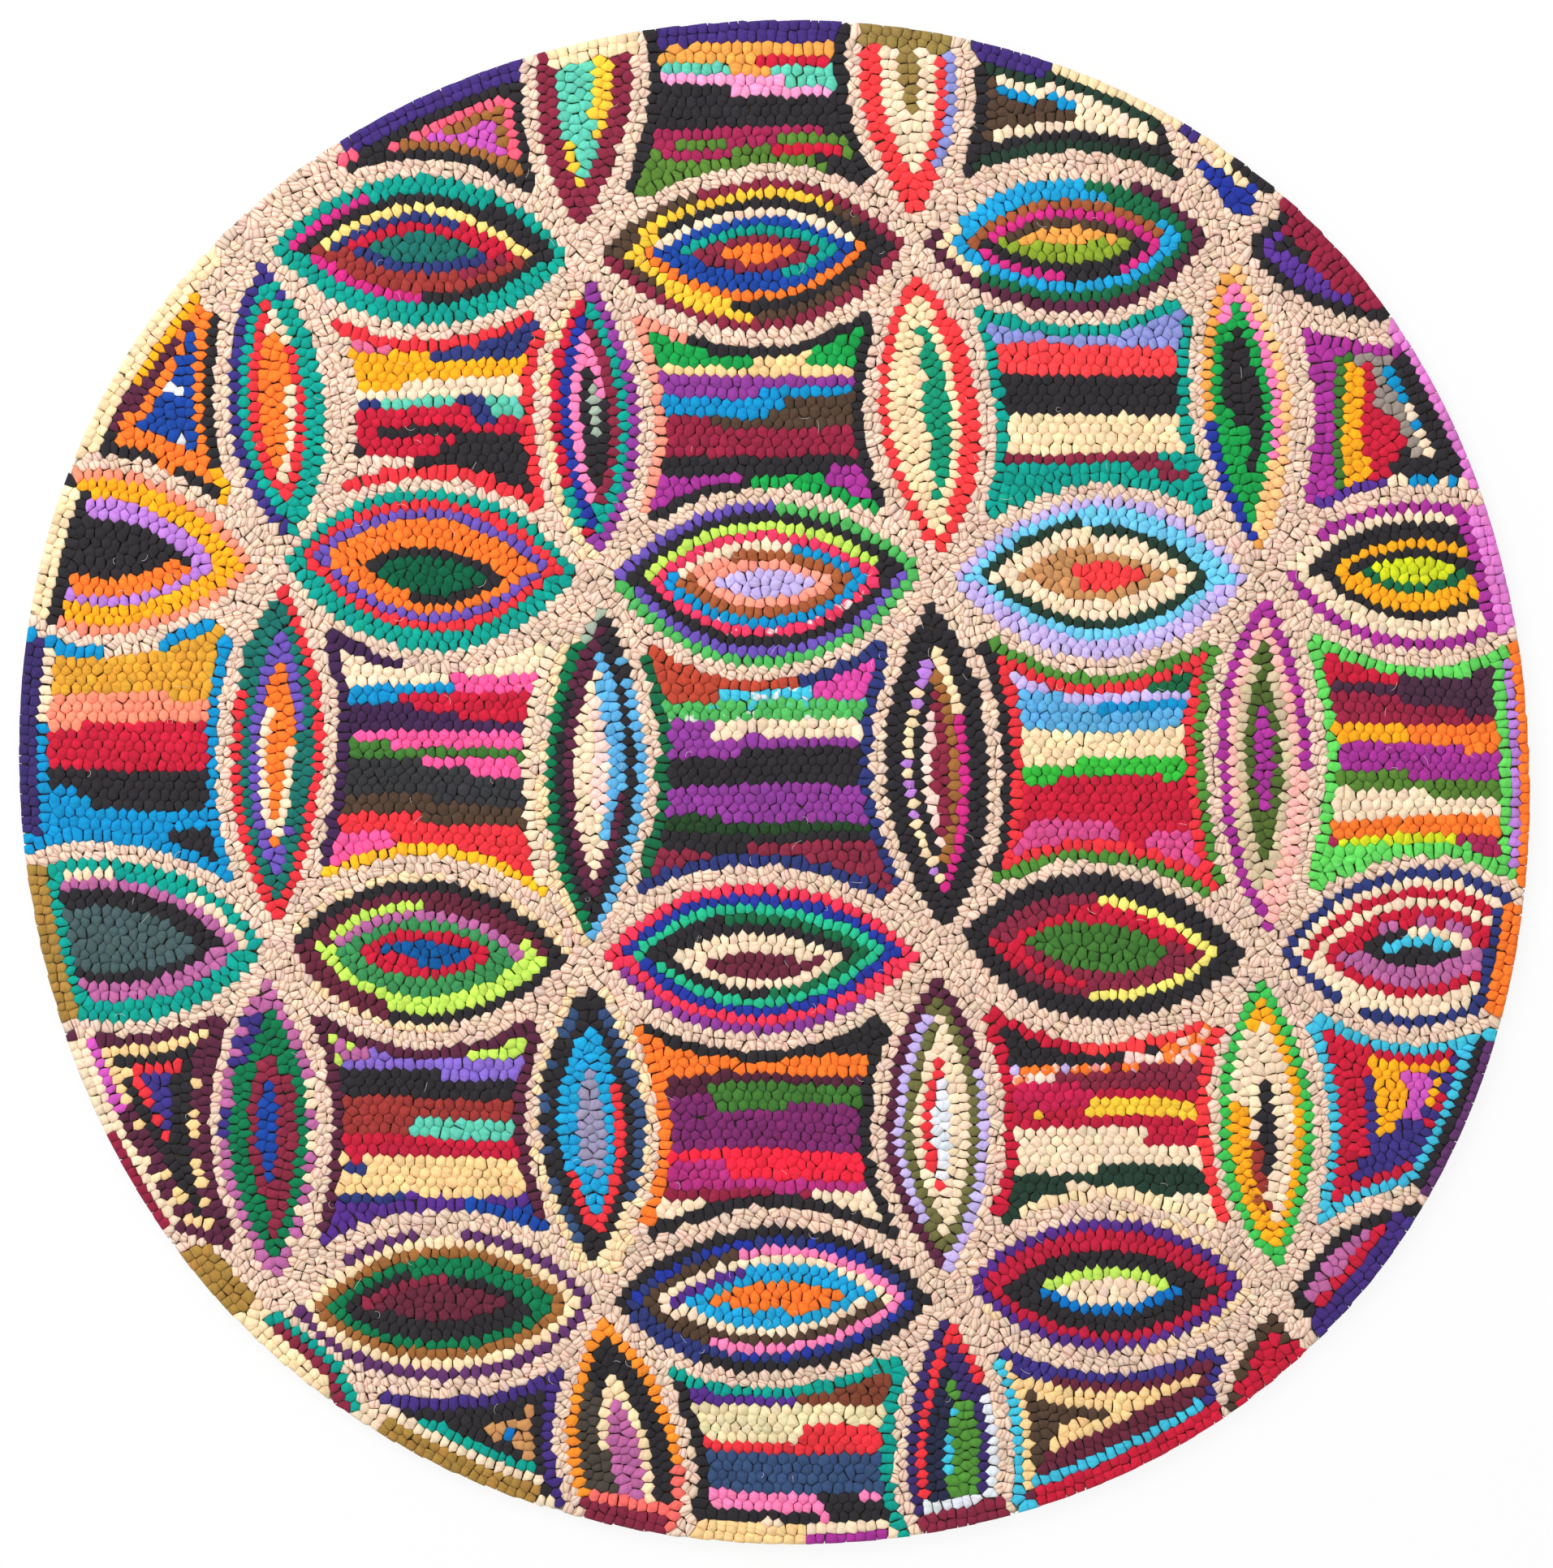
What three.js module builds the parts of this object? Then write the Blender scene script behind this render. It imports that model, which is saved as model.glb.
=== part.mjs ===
// A near-round floor rug of cotton loops hooked through a cloth base, lying flat and pile up.
// The loops and the base they are pulled through are one piece of cloth, so the rug is one solid.
// Its outline is worked by hand: it strays a few millimetres from a true circle, widest at the diagonals.
// Units are millimetres. +Z is up, +Y is the top of the pattern, and the origin is the middle of the underside.

import * as THREE from "three";

// Driving dimensions
const MEAN_RADIUS = 612;
const THICKNESS = 13; // base cloth and loops together
const BELLY_HEIGHT = 6; // where the outermost loops lean out furthest
const TOP_ROUND = 6; // how far the upper edge draws in as those loops turn over
const FOOT_ROUND = 4; // how far the underside draws in below them
const ROUND_STEPS = 4; // steps in each of the two edge curves
const OUTLINE_STEPS = 144;
const COLOUR = 0xb08f80; // the mixed yarns seen from afar

// How the outline strays from a circle: each wave has a number of lobes, a height, and the angle of one peak.
const OUTLINE_WAVES = [
  { lobes: 2, height: 4.9, peakDegrees: 117 },
  { lobes: 3, height: 3.0, peakDegrees: 47 },
  { lobes: 4, height: 6.0, peakDegrees: 48 },
];

// The rug's radius in the direction of an angle, in radians from +X.
function outlineRadius(angle) {
  return OUTLINE_WAVES.reduce((radius, wave) => {
    const peak = THREE.MathUtils.degToRad(wave.peakDegrees);
    return radius + wave.height * Math.cos(wave.lobes * (angle - peak));
  }, MEAN_RADIUS);
}

// A quarter of an ellipse about a centre, from one angle to another, as profile points.
function quarterCurve(centreX, centreY, halfWidth, halfHeight, fromAngle) {
  const points = [];
  for (let step = 0; step <= ROUND_STEPS; step += 1) {
    const angle = fromAngle + (step / ROUND_STEPS) * (Math.PI / 2);
    points.push(
      new THREE.Vector2(
        centreX + halfWidth * Math.cos(angle),
        centreY + halfHeight * Math.sin(angle),
      ),
    );
  }
  return points;
}

// Half of the rug's cross-section: the flat underside, the edge that bellies out, and the flat top.
function crossSection() {
  const foot = quarterCurve(
    MEAN_RADIUS - FOOT_ROUND, BELLY_HEIGHT, FOOT_ROUND, BELLY_HEIGHT, -Math.PI / 2,
  );
  const shoulder = quarterCurve(
    MEAN_RADIUS - TOP_ROUND, BELLY_HEIGHT, TOP_ROUND, THICKNESS - BELLY_HEIGHT, 0,
  );
  return [
    new THREE.Vector2(0, 0),
    ...foot,
    ...shoulder.slice(1),
    new THREE.Vector2(0, THICKNESS),
  ];
}

// The cross-section turned about the rug's middle, then drawn in or out to the hand-worked outline.
function rugGeometry() {
  const geometry = new THREE.LatheGeometry(crossSection(), OUTLINE_STEPS);
  geometry.rotateX(Math.PI / 2);
  const position = geometry.getAttribute("position");
  for (let i = 0; i < position.count; i += 1) {
    const x = position.getX(i);
    const y = position.getY(i);
    const stretch = outlineRadius(Math.atan2(y, x)) / MEAN_RADIUS;
    position.setXY(i, x * stretch, y * stretch);
  }
  geometry.computeBoundingBox();
  const middle = geometry.boundingBox.getCenter(new THREE.Vector3());
  geometry.translate(-middle.x, -middle.y, 0);
  geometry.computeVertexNormals();
  return geometry;
}

const rug = new THREE.Mesh(
  rugGeometry(),
  new THREE.MeshStandardMaterial({ color: COLOUR, roughness: 0.95, metalness: 0 }),
);
rug.name = "rug";

const model = new THREE.Group();
model.add(rug);

export default model;
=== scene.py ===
import math
from collections import namedtuple

import bmesh
import bpy
import numpy as np
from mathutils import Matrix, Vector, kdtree


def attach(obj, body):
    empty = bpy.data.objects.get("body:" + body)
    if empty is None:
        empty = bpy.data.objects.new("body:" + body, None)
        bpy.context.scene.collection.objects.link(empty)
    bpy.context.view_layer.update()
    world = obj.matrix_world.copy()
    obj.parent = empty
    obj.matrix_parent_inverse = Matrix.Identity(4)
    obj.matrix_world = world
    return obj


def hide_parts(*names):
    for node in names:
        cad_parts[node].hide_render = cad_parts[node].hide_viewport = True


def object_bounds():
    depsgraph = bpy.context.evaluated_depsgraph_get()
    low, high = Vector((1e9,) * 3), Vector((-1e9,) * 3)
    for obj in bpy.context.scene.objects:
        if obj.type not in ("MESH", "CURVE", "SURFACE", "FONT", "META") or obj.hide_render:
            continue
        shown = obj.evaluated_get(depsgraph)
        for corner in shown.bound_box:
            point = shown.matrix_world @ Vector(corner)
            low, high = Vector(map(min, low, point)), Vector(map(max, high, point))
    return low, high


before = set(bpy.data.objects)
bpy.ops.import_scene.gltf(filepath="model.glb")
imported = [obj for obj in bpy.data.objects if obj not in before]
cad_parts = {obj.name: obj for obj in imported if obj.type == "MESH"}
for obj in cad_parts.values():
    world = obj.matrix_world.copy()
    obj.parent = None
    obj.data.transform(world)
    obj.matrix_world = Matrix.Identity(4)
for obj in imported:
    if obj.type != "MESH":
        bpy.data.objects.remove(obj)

bl_info = {
    "name": "Round hooked rug",
    "version": (1, 0, 0),
    "blender": (4, 5, 0),
    "location": "3D View > Sidebar > Rug",
    "description": "Hooks a round cotton rug loop by loop, in a pattern of interlaced circles",
    "category": "Add Mesh",
}

CAD_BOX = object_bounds()
RUG_NODE = "rug"
MM = 0.001
SEED = 20

# ---------------------------------------------------------------- yarns

# Every yarn on the rug, as it looks on the loop, in 0 to 255 steps of red, green and blue.
YARNS = {
    "natural": (238, 210, 189), "butter": (252, 222, 178), "cream": (248, 222, 190),
    "straw": (255, 222, 130), "tanbutter": (250, 210, 148),
    "white": (246, 242, 236), "ice": (226, 230, 236), "blush": (252, 216, 204),
    "black": (44, 41, 45), "charcoal": (52, 52, 55), "bark": (74, 66, 58),
    "brown": (82, 62, 48), "caramel": (158, 102, 52), "sienna": (166, 90, 52),
    "tan": (198, 142, 90), "sand": (212, 192, 158), "khaki": (150, 125, 68),
    "khakicream": (238, 222, 176), "taupe": (150, 138, 130), "oldgold": (170, 131, 62),
    "crimson": (202, 28, 58), "rose": (240, 58, 100), "scarlet": (248, 38, 66), "red": (234, 52, 62),
    "coralred": (250, 62, 66), "coral": (252, 68, 72), "apricot": (255, 148, 118),
    "coralpink": (255, 96, 125), "salmon": (255, 158, 134), "peach": (255, 198, 132),
    "brick": (158, 54, 50), "rust": (190, 72, 50), "burgundy": (136, 40, 64),
    "claret": (150, 34, 64), "maroon": (104, 38, 58), "plum": (90, 38, 62),
    "darkplum": (74, 42, 64), "aubergine": (66, 38, 78), "purpleplum": (124, 40, 104),
    "raspberry": (166, 38, 84), "magenta": (212, 44, 132), "fuchsia": (226, 74, 168),
    "hotpink": (251, 90, 158), "pink": (255, 132, 186), "palepink": (255, 160, 206),
    "rosepink": (226, 102, 142), "orchid": (202, 84, 184), "lightorchid": (224, 124, 204),
    "mauve": (186, 102, 158), "cerise": (168, 50, 150), "purple": (142, 58, 150),
    "grape": (92, 52, 150), "indigo": (68, 46, 122), "violet": (108, 82, 180),
    "royalviolet": (86, 46, 136), "nightviolet": (62, 50, 128), "periwinkle": (140, 146, 210),
    "lavender": (200, 182, 236), "lilac": (186, 126, 214), "greylilac": (152, 146, 176),
    "navy": (46, 56, 116), "darknavy": (38, 42, 68), "cobalt": (36, 54, 156),
    "royal": (24, 70, 160), "blue": (4, 112, 190), "cerulean": (8, 144, 202),
    "sky": (26, 162, 214), "paleblue": (112, 204, 236), "skyblue": (92, 172, 220),
    "cyan": (64, 190, 220), "teal": (4, 158, 142), "deepteal": (24, 110, 100),
    "mint": (94, 200, 174), "green": (20, 158, 72), "emerald": (8, 118, 74),
    "pine": (22, 104, 66), "bottle": (4, 92, 62), "leafgreen": (64, 118, 48),
    "brightgreen": (52, 184, 58), "lightgreen": (100, 214, 94), "freshgreen": (62, 190, 82),
    "blackgreen": (36, 60, 48), "olive": (80, 102, 44), "olivelime": (138, 164, 44),
    "lime": (196, 234, 92), "lemonlime": (214, 224, 32), "lemon": (250, 236, 118),
    "amber": (255, 174, 26), "honey": (242, 166, 76), "moss": (88, 130, 48),
    "damson": (98, 52, 106), "jade": (14, 148, 110), "steelblue": (54, 78, 118),
    "softpink": (255, 190, 178), "deepindigo": (60, 45, 104), "tangerine": (252, 146, 42),
    "deepblue": (8, 88, 154), "watermelon": (244, 54, 86), "seafoam": (36, 186, 140),
    "ruby": (190, 28, 60), "grass": (80, 142, 54),
    "chestnut": (130, 66, 46), "dustypink": (214, 76, 138), "darkmaroon": (82, 34, 54),
    "darkmoss": (36, 66, 36), "ochre": (226, 162, 50), "gold": (250, 200, 58),
    "marigold": (255, 190, 34), "orange": (255, 124, 42), "slate": (70, 92, 94),
    "sage": (162, 178, 160), "canvas": (206, 186, 152), "drab": (110, 108, 62),
    "softviolet": (134, 104, 200), "mulberry": (182, 46, 122), "cherry": (196, 30, 78),
    "shrimp": (252, 112, 104), "spring": (80, 182, 92), "fern": (58, 142, 82),
}

# ---------------------------------------------------------------- the chart
#
# Lengths are in millimetres from the middle of the rug, x to the right and y up the pattern.
#
# An eye lies between its left and right tips and a leaf between its top and bottom tips. Each is two
# arcs, which rise and drop, or swell left and right, from the line between the tips.
#
# Rings run from the outline inwards, with | between them, and the last one goes on to the core.
# A ring is a yarn for the whole of it, then yarns that take its place on a side and a stretch:
#   T above, B below, X across, all in percent from left to right;
#   L left, R right, E the rug's edge, Y down, all in percent from top to bottom.
# A yarn+yarn is a strip with flecks of the second, and in a yarn/yarn each loop is one or the other.
#
# A square may have straight rows inside its rings. They run from the top down or, as "columns", from
# the left, and top and bottom say where the middles of the first and the last one lie. A stretch
# without a letter is measured along its own row, and Y down the square.
#
# edge says what happens where the rug's edge cuts a motif: "cut" stops it there, "wall" takes the
# rings along the edge too, and anything else is the rings that lie along the edge.
# halo is the yarn mixed into the ground beside an outline. limit stops a motif at a straight line:
# the side L, R, B or T and the millimetres where that side lies.

Eye = namedtuple("Eye", "name left right rise drop rings edge halo limit",
                 defaults=("cut", "", ""))
Leaf = namedtuple("Leaf", "name top bottom left right rings edge halo limit",
                  defaults=("cut", "", ""))
Square = namedtuple("Square", "name above below left right rings fill top bottom edge lay limit",
                    defaults=("", 0, 0, "cut", "rows", ""))
Band = namedtuple("Band", "start stop rows outer inner", defaults=(None,))

EYES = (
    Eye("eye_1a", (-400, 427), (-162, 421), 59, 57,
        "teal | teal; magenta T 3-30; black T 72-100 | black; magenta B 5-48 | straw; brick B"
        " | burgundy; navy T 14-60; crimson T 60-80; brick B 10-60"
        " | crimson; navy B 20-90; burgundy X 82-100 | deepteal; crimson B 0-35 | deepteal"),
    Eye("eye_1b", (-139, 422), (107, 431), 53, 64,
        "burgundy; brown T 0-32 | brown; gold T 12-74; gold B 22-50; black X 88-100"
        " | black; gold T 0-20; gold B 0-42 | cream; orange B; black X 92-100"
        " | royal; orange X 0-6 | royal; teal T 12-90; teal B 55-88 | burgundy"
        " | orange; burgundy X 0-25; teal X 84-100"),
    Eye("eye_1c", (122, 431), (347, 433), 58, 58,
        "plum; natural T 5-72 | pine; butter T 0-12; sky T 12-58; butter B 0-18"
        " | sky; pine T 60-84 | sienna; magenta B 8-92; black B 45-66; sky X 84-100"
        " | magenta; black B | brown; olivelime B; black X 76-100; olivelime X 0-25"
        " | honey; olivelime B; black X 78-100; olivelime X 0-22 | honey; olivelime X 0-30"),
    Eye("eye_1d", (378, 428), (620, 425), 59, 59,
        "black | grape | grape; black T | black", edge="claret | claret"),
    Eye("eye_2z", (-655, 190), (-416, 171), 68, 62,
        "apricot | amber | amber | lilac | lilac; orange B | black; orange B | black",
        edge="black"),
    Eye("eye_2a", (-392, 176), (-157, 168), 60, 65,
        "teal | red; teal B | violet; red B | orange; violet B | orange | orange; black B 45-80"
        " | black; bottle B 12-88 | bottle"),
    Eye("eye_2b", (-132, 162), (117, 171), 55, 73,
        "spring; violet T 0-55 | black; violet B | lime; black B; black X 85-100"
        " | rose; rose+white B 30-85 | cream; cerulean T 60-100; cerulean B; salmon X 0-12"
        " | salmon; sienna B 10-90; sienna T 40-80 | salmon | lavender; salmon X 0-25;"
        " salmon X 70-100 | lavender"),
    Eye("eye_2c", (142, 162), (376, 164), 62, 63,
        "lavender | paleblue; lavender B | blackgreen; paleblue T 45-90; paleblue B"
        " | cream; blackgreen T 45-90; blackgreen B | cream"
        " | tan; cream B; cream T 50-75; cream X 78-100; cream X 0-15"
        " | tan; cream X 84-100 | coralred; tan X 0-42; tan X 74-100"),
    Eye("eye_2d", (405, 170), (620, 165), 57, 62,
        "cerise; cream T 0-14 | cream | black; cream B | black | amber | black; amber B"
        " | lemonlime; pine B; pine X 0-24 | lemonlime; pine X 0-20", edge="cerise"),
    Eye("eye_3z", (-650, -112), (-409, -135), 62, 69,
        "teal | teal; cream T 33-47; cream T 74-100 | mauve | black; mauve B | black | slate",
        edge="teal"),
    Eye("eye_3a", (-388, -131), (-168, -142), 58, 57,
        "black; maroon B 0-36 | maroon; lime B 36-100"
        " | maroon; lime T 14-48; lime T 84-100; lime B; lime X 0-12"
        " | mauve; lime X 0-14; fern B 16-84; lime B 84-100"
        " | fern; mauve X 0-12; mauve X 86-100 | crimson; fern X 0-16; fern X 84-100"
        " | deepblue; crimson X 0-24; crimson X 78-100; crimson B 24-50 | deepblue",
        halo="butter T; butter B 10-60"),
    Eye("eye_3b", (-138, -139), (115, -141), 58, 61,
        "watermelon; purple B 5-85 | cobalt; watermelon B | seafoam; cobalt B; cobalt X 88-100"
        " | black; pine T 40-85; seafoam B; cream X 0-6; cobalt X 90-100"
        " | black; cream X 0-12; pine B 55-80; pine T 80-92 | cream"
        " | cream; maroon B 14-86 | maroon; cream X 0-12; cream X 88-100"),
    Eye("eye_3c", (149, -123), (373, -138), 55, 58,
        "black | black | crimson; burgundy T 12-50; lemon T 50-100; lemon B 45-100;"
        " burgundy B 20-45 | crimson; burgundy T 0-40; burgundy B 45-85"
        " | crimson; burgundy B; burgundy T 70-90"
        " | leafgreen; crimson X 0-24; burgundy X 84-100 | leafgreen"),
    Eye("eye_3d", (403, -139), (627, -131), 64, 58,
        "navy; cream B 22-30 | cream | crimson; cream B | cream; crimson B | crimson; mauve B"
        " | crimson; mauve B; crimson/mauve T 30-70 | black; crimson X 0-22; cream T 45-92"
        " | black; cyan T 30-98; cyan X 88-98", edge="navy"),
    Eye("eye_4z", (-640, -430), (-402, -425), 60, 60, "butter"),
    Eye("eye_4a", (-386, -419), (-145, -416), 61, 61,
        "damson; natural T 0-22; natural T 42-58 | butter | caramel | emerald"
        " | black; emerald T 42-86 | burgundy; black B; black T 55-92 | burgundy; maroon X 25-75"
        " | maroon"),
    Eye("eye_4b", (-128, -417), (126, -415), 61, 56,
        "black; navy B 5-30 | cobalt/navy; navy B 0-28 | pink; brown T 0-38; brown B 5-30"
        " | cream; brown B 22-88 | sky; royalviolet T 0-42; cream B 12-90 | sky"
        " | orange; sky B 0-50 | orange; sky X 0-8"),
    Eye("eye_4c", (158, -402), (376, -405), 54, 49,
        "royalviolet | ruby | ruby; black B 10-90 | black | black; blue B 15-88"
        " | lime; cream B; blue X 0-20; blue X 82-100 | cream; blue X 0-14",
        halo="butter T 50-100; butter B 0-15; butter B 60-100"),
    Eye("eye_4d", (413, -413), (640, -400), 70, 60,
        "black | mauve | mauve | black; mauve X 0-20", edge="crimson"),
)

LEAVES = (
    Leaf("leaf_0a", (-150, 690), (-155, 442), 37, 37,
         "burgundy | burgundy | mint; gold R 0-72; gold L 72-96 | mint; gold R 0-65 | mint"),
    Leaf("leaf_0b", (100, 690), (113, 450), 37, 37,
         "coralred; periwinkle R 5-85 | coralred | cream | cream; coralred Y 90-100"
         " | khaki; cream Y 82-100"),
    Leaf("leaf_0c", (330, 600), (378, 449), 27, 27, "cobalt", edge="butter", limit="T 497"),
    Leaf("leaf_1a", (-407, 411), (-389, 192), 38, 39,
         "teal; nightviolet L; nightviolet Y 0-9 | teal | red; cream R 12-30; teal Y 88-100"
         " | orange; cream R 10-24; cream R 45-80 | orange; teal Y 85-100"),
    Leaf("leaf_1b", (-147, 402), (-142, 180), 35, 35,
         "purple; crimson L; teal L 72-90; purple Y 92-100 | teal; cobalt L"
         " | burgundy; pink L; teal R 85-100 | black; pink R 14-45; pink Y 82-100"
         " | black; sage L 30-88; pink Y 86-100", halo="butter L"),
    Leaf("leaf_1c", (113, 409), (130, 182), 38, 42,
         "coralred | butter; coralred R 20-85 | butter"
         " | jade; butter L; butter Y 0-14; butter Y 84-100"
         " | jade; butter L; butter Y 0-12; butter Y 84-100 | jade"),
    Leaf("leaf_1d", (367, 420), (386, 184), 35, 35,
         "honey; peach R; cobalt L 58-92 | pink; green L 22-100; peach R 68-100"
         " | green; black L 25-52; pink Y 0-12 | black; green L 55-100; green Y 0-8"
         " | black; green Y 90-100"),
    Leaf("leaf_2a", (-392, 160), (-401, -117), 37, 37,
         "red; deepteal L 0-30 | deepteal | violet; deepteal R 40-72"
         " | orange; cream L 38-78; cream R 45-75; violet Y 84-100"
         " | orange; cream Y 74-92; violet Y 92-100"),
    Leaf("leaf_2b", (-139, 139), (-147, -128), 39, 40,
         "skyblue; emerald L; sage L 0-14; black R 0-20 | black; plum L 0-28"
         " | plum; black R 0-14; skyblue R 14-55 | cream; skyblue R 20-68 | cream; blush R 0-60",
         halo="butter L 10-100"),
    Leaf("leaf_2c", (126, 142), (136, -121), 41, 41,
         "black | black | magenta; lilac/butter L; butter R 10-36; lilac Y 0-9; lilac Y 92-100"
         " | caramel; black L | burgundy; blush L; caramel Y 0-20; caramel Y 80-100 | burgundy"),
    Leaf("leaf_2d", (390, 153), (393, -123), 36, 36,
         "cerise; softpink R 49-100 | softpink; sand L 62-85"
         " | sand; olive Y 8-22; softpink Y 84-100 | olive; sand Y 0-6; sand Y 78-100"
         " | olive; cerise Y 24-64; sand Y 78-100"),
    Leaf("leaf_3a", (-407, -155), (-399, -400), 39, 38,
         "mauve; nightviolet/mauve L 8-57; cream/mauve R 30-100"
         " | emerald; nightviolet L 8-30; mauve Y 0-8 | emerald; burgundy R 30-85"
         " | burgundy; emerald Y 0-25; emerald Y 86-100"
         " | royal; emerald Y 0-25; burgundy Y 25-34; burgundy Y 74-90; emerald Y 90-100"),
    Leaf("leaf_3b", (-148, -162), (-137, -394), 43, 38,
         "black/steelblue; steelblue R 8-70; butter R 74-100 | black"
         " | sky; red R 33-100; red L 68-100 | sky"
         " | greylilac; sky Y 0-20; sky Y 64-100"
         " | greylilac; sky Y 0-20; sky Y 64-100",
         halo="butter L; butter R; butter Y 80-100"),
    Leaf("leaf_3c", (129, -156), (138, -396), 43, 38,
         "plum; lavender R 30-100 | drab; lavender L 12-80 | cream; drab L 15-88; drab Y 0-12"
         " | cream | ice; red L; cream Y 0-20; red Y 84-92 | ice; cream Y 0-20"),
    Leaf("leaf_3d", (388, -158), (402, -391), 38, 34,
         "freshgreen | amber; cream L 14-42 | cream; amber+brick L 42-100 | cream; brick L 50-85"
         " | black; cream Y 0-20; cream Y 78-86; amber Y 86-100"),
    Leaf("leaf_4z", (-400, -422), (-370, -640), 40, 60, "teal | burgundy | burgundy; cream R"),
    Leaf("leaf_4a", (-140, -428), (-100, -650), 43, 43,
         "tangerine; shrimp R 55-100 | black; bark L 22-100 | black; bark L 26-100"
         " | butter; bark L 46-100 | mauve; butter Y 0-20 | mauve; butter Y 0-18", edge="shrimp"),
    Leaf("leaf_4b", (138, -425), (145, -650), 36, 36,
         "deepindigo; red R 4-25; ice R 28-100 | deepindigo; red L 4-100; red R 4-14"
         " | grass; darknavy L; deepindigo R 0-30 | grass; darknavy L"
         " | cyan; grass R; darknavy Y 0-15", edge="ice"),
    Leaf("leaf_4c", (397, -423), (400, -640), 40, 40, "brown | crimson"),
)

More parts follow.
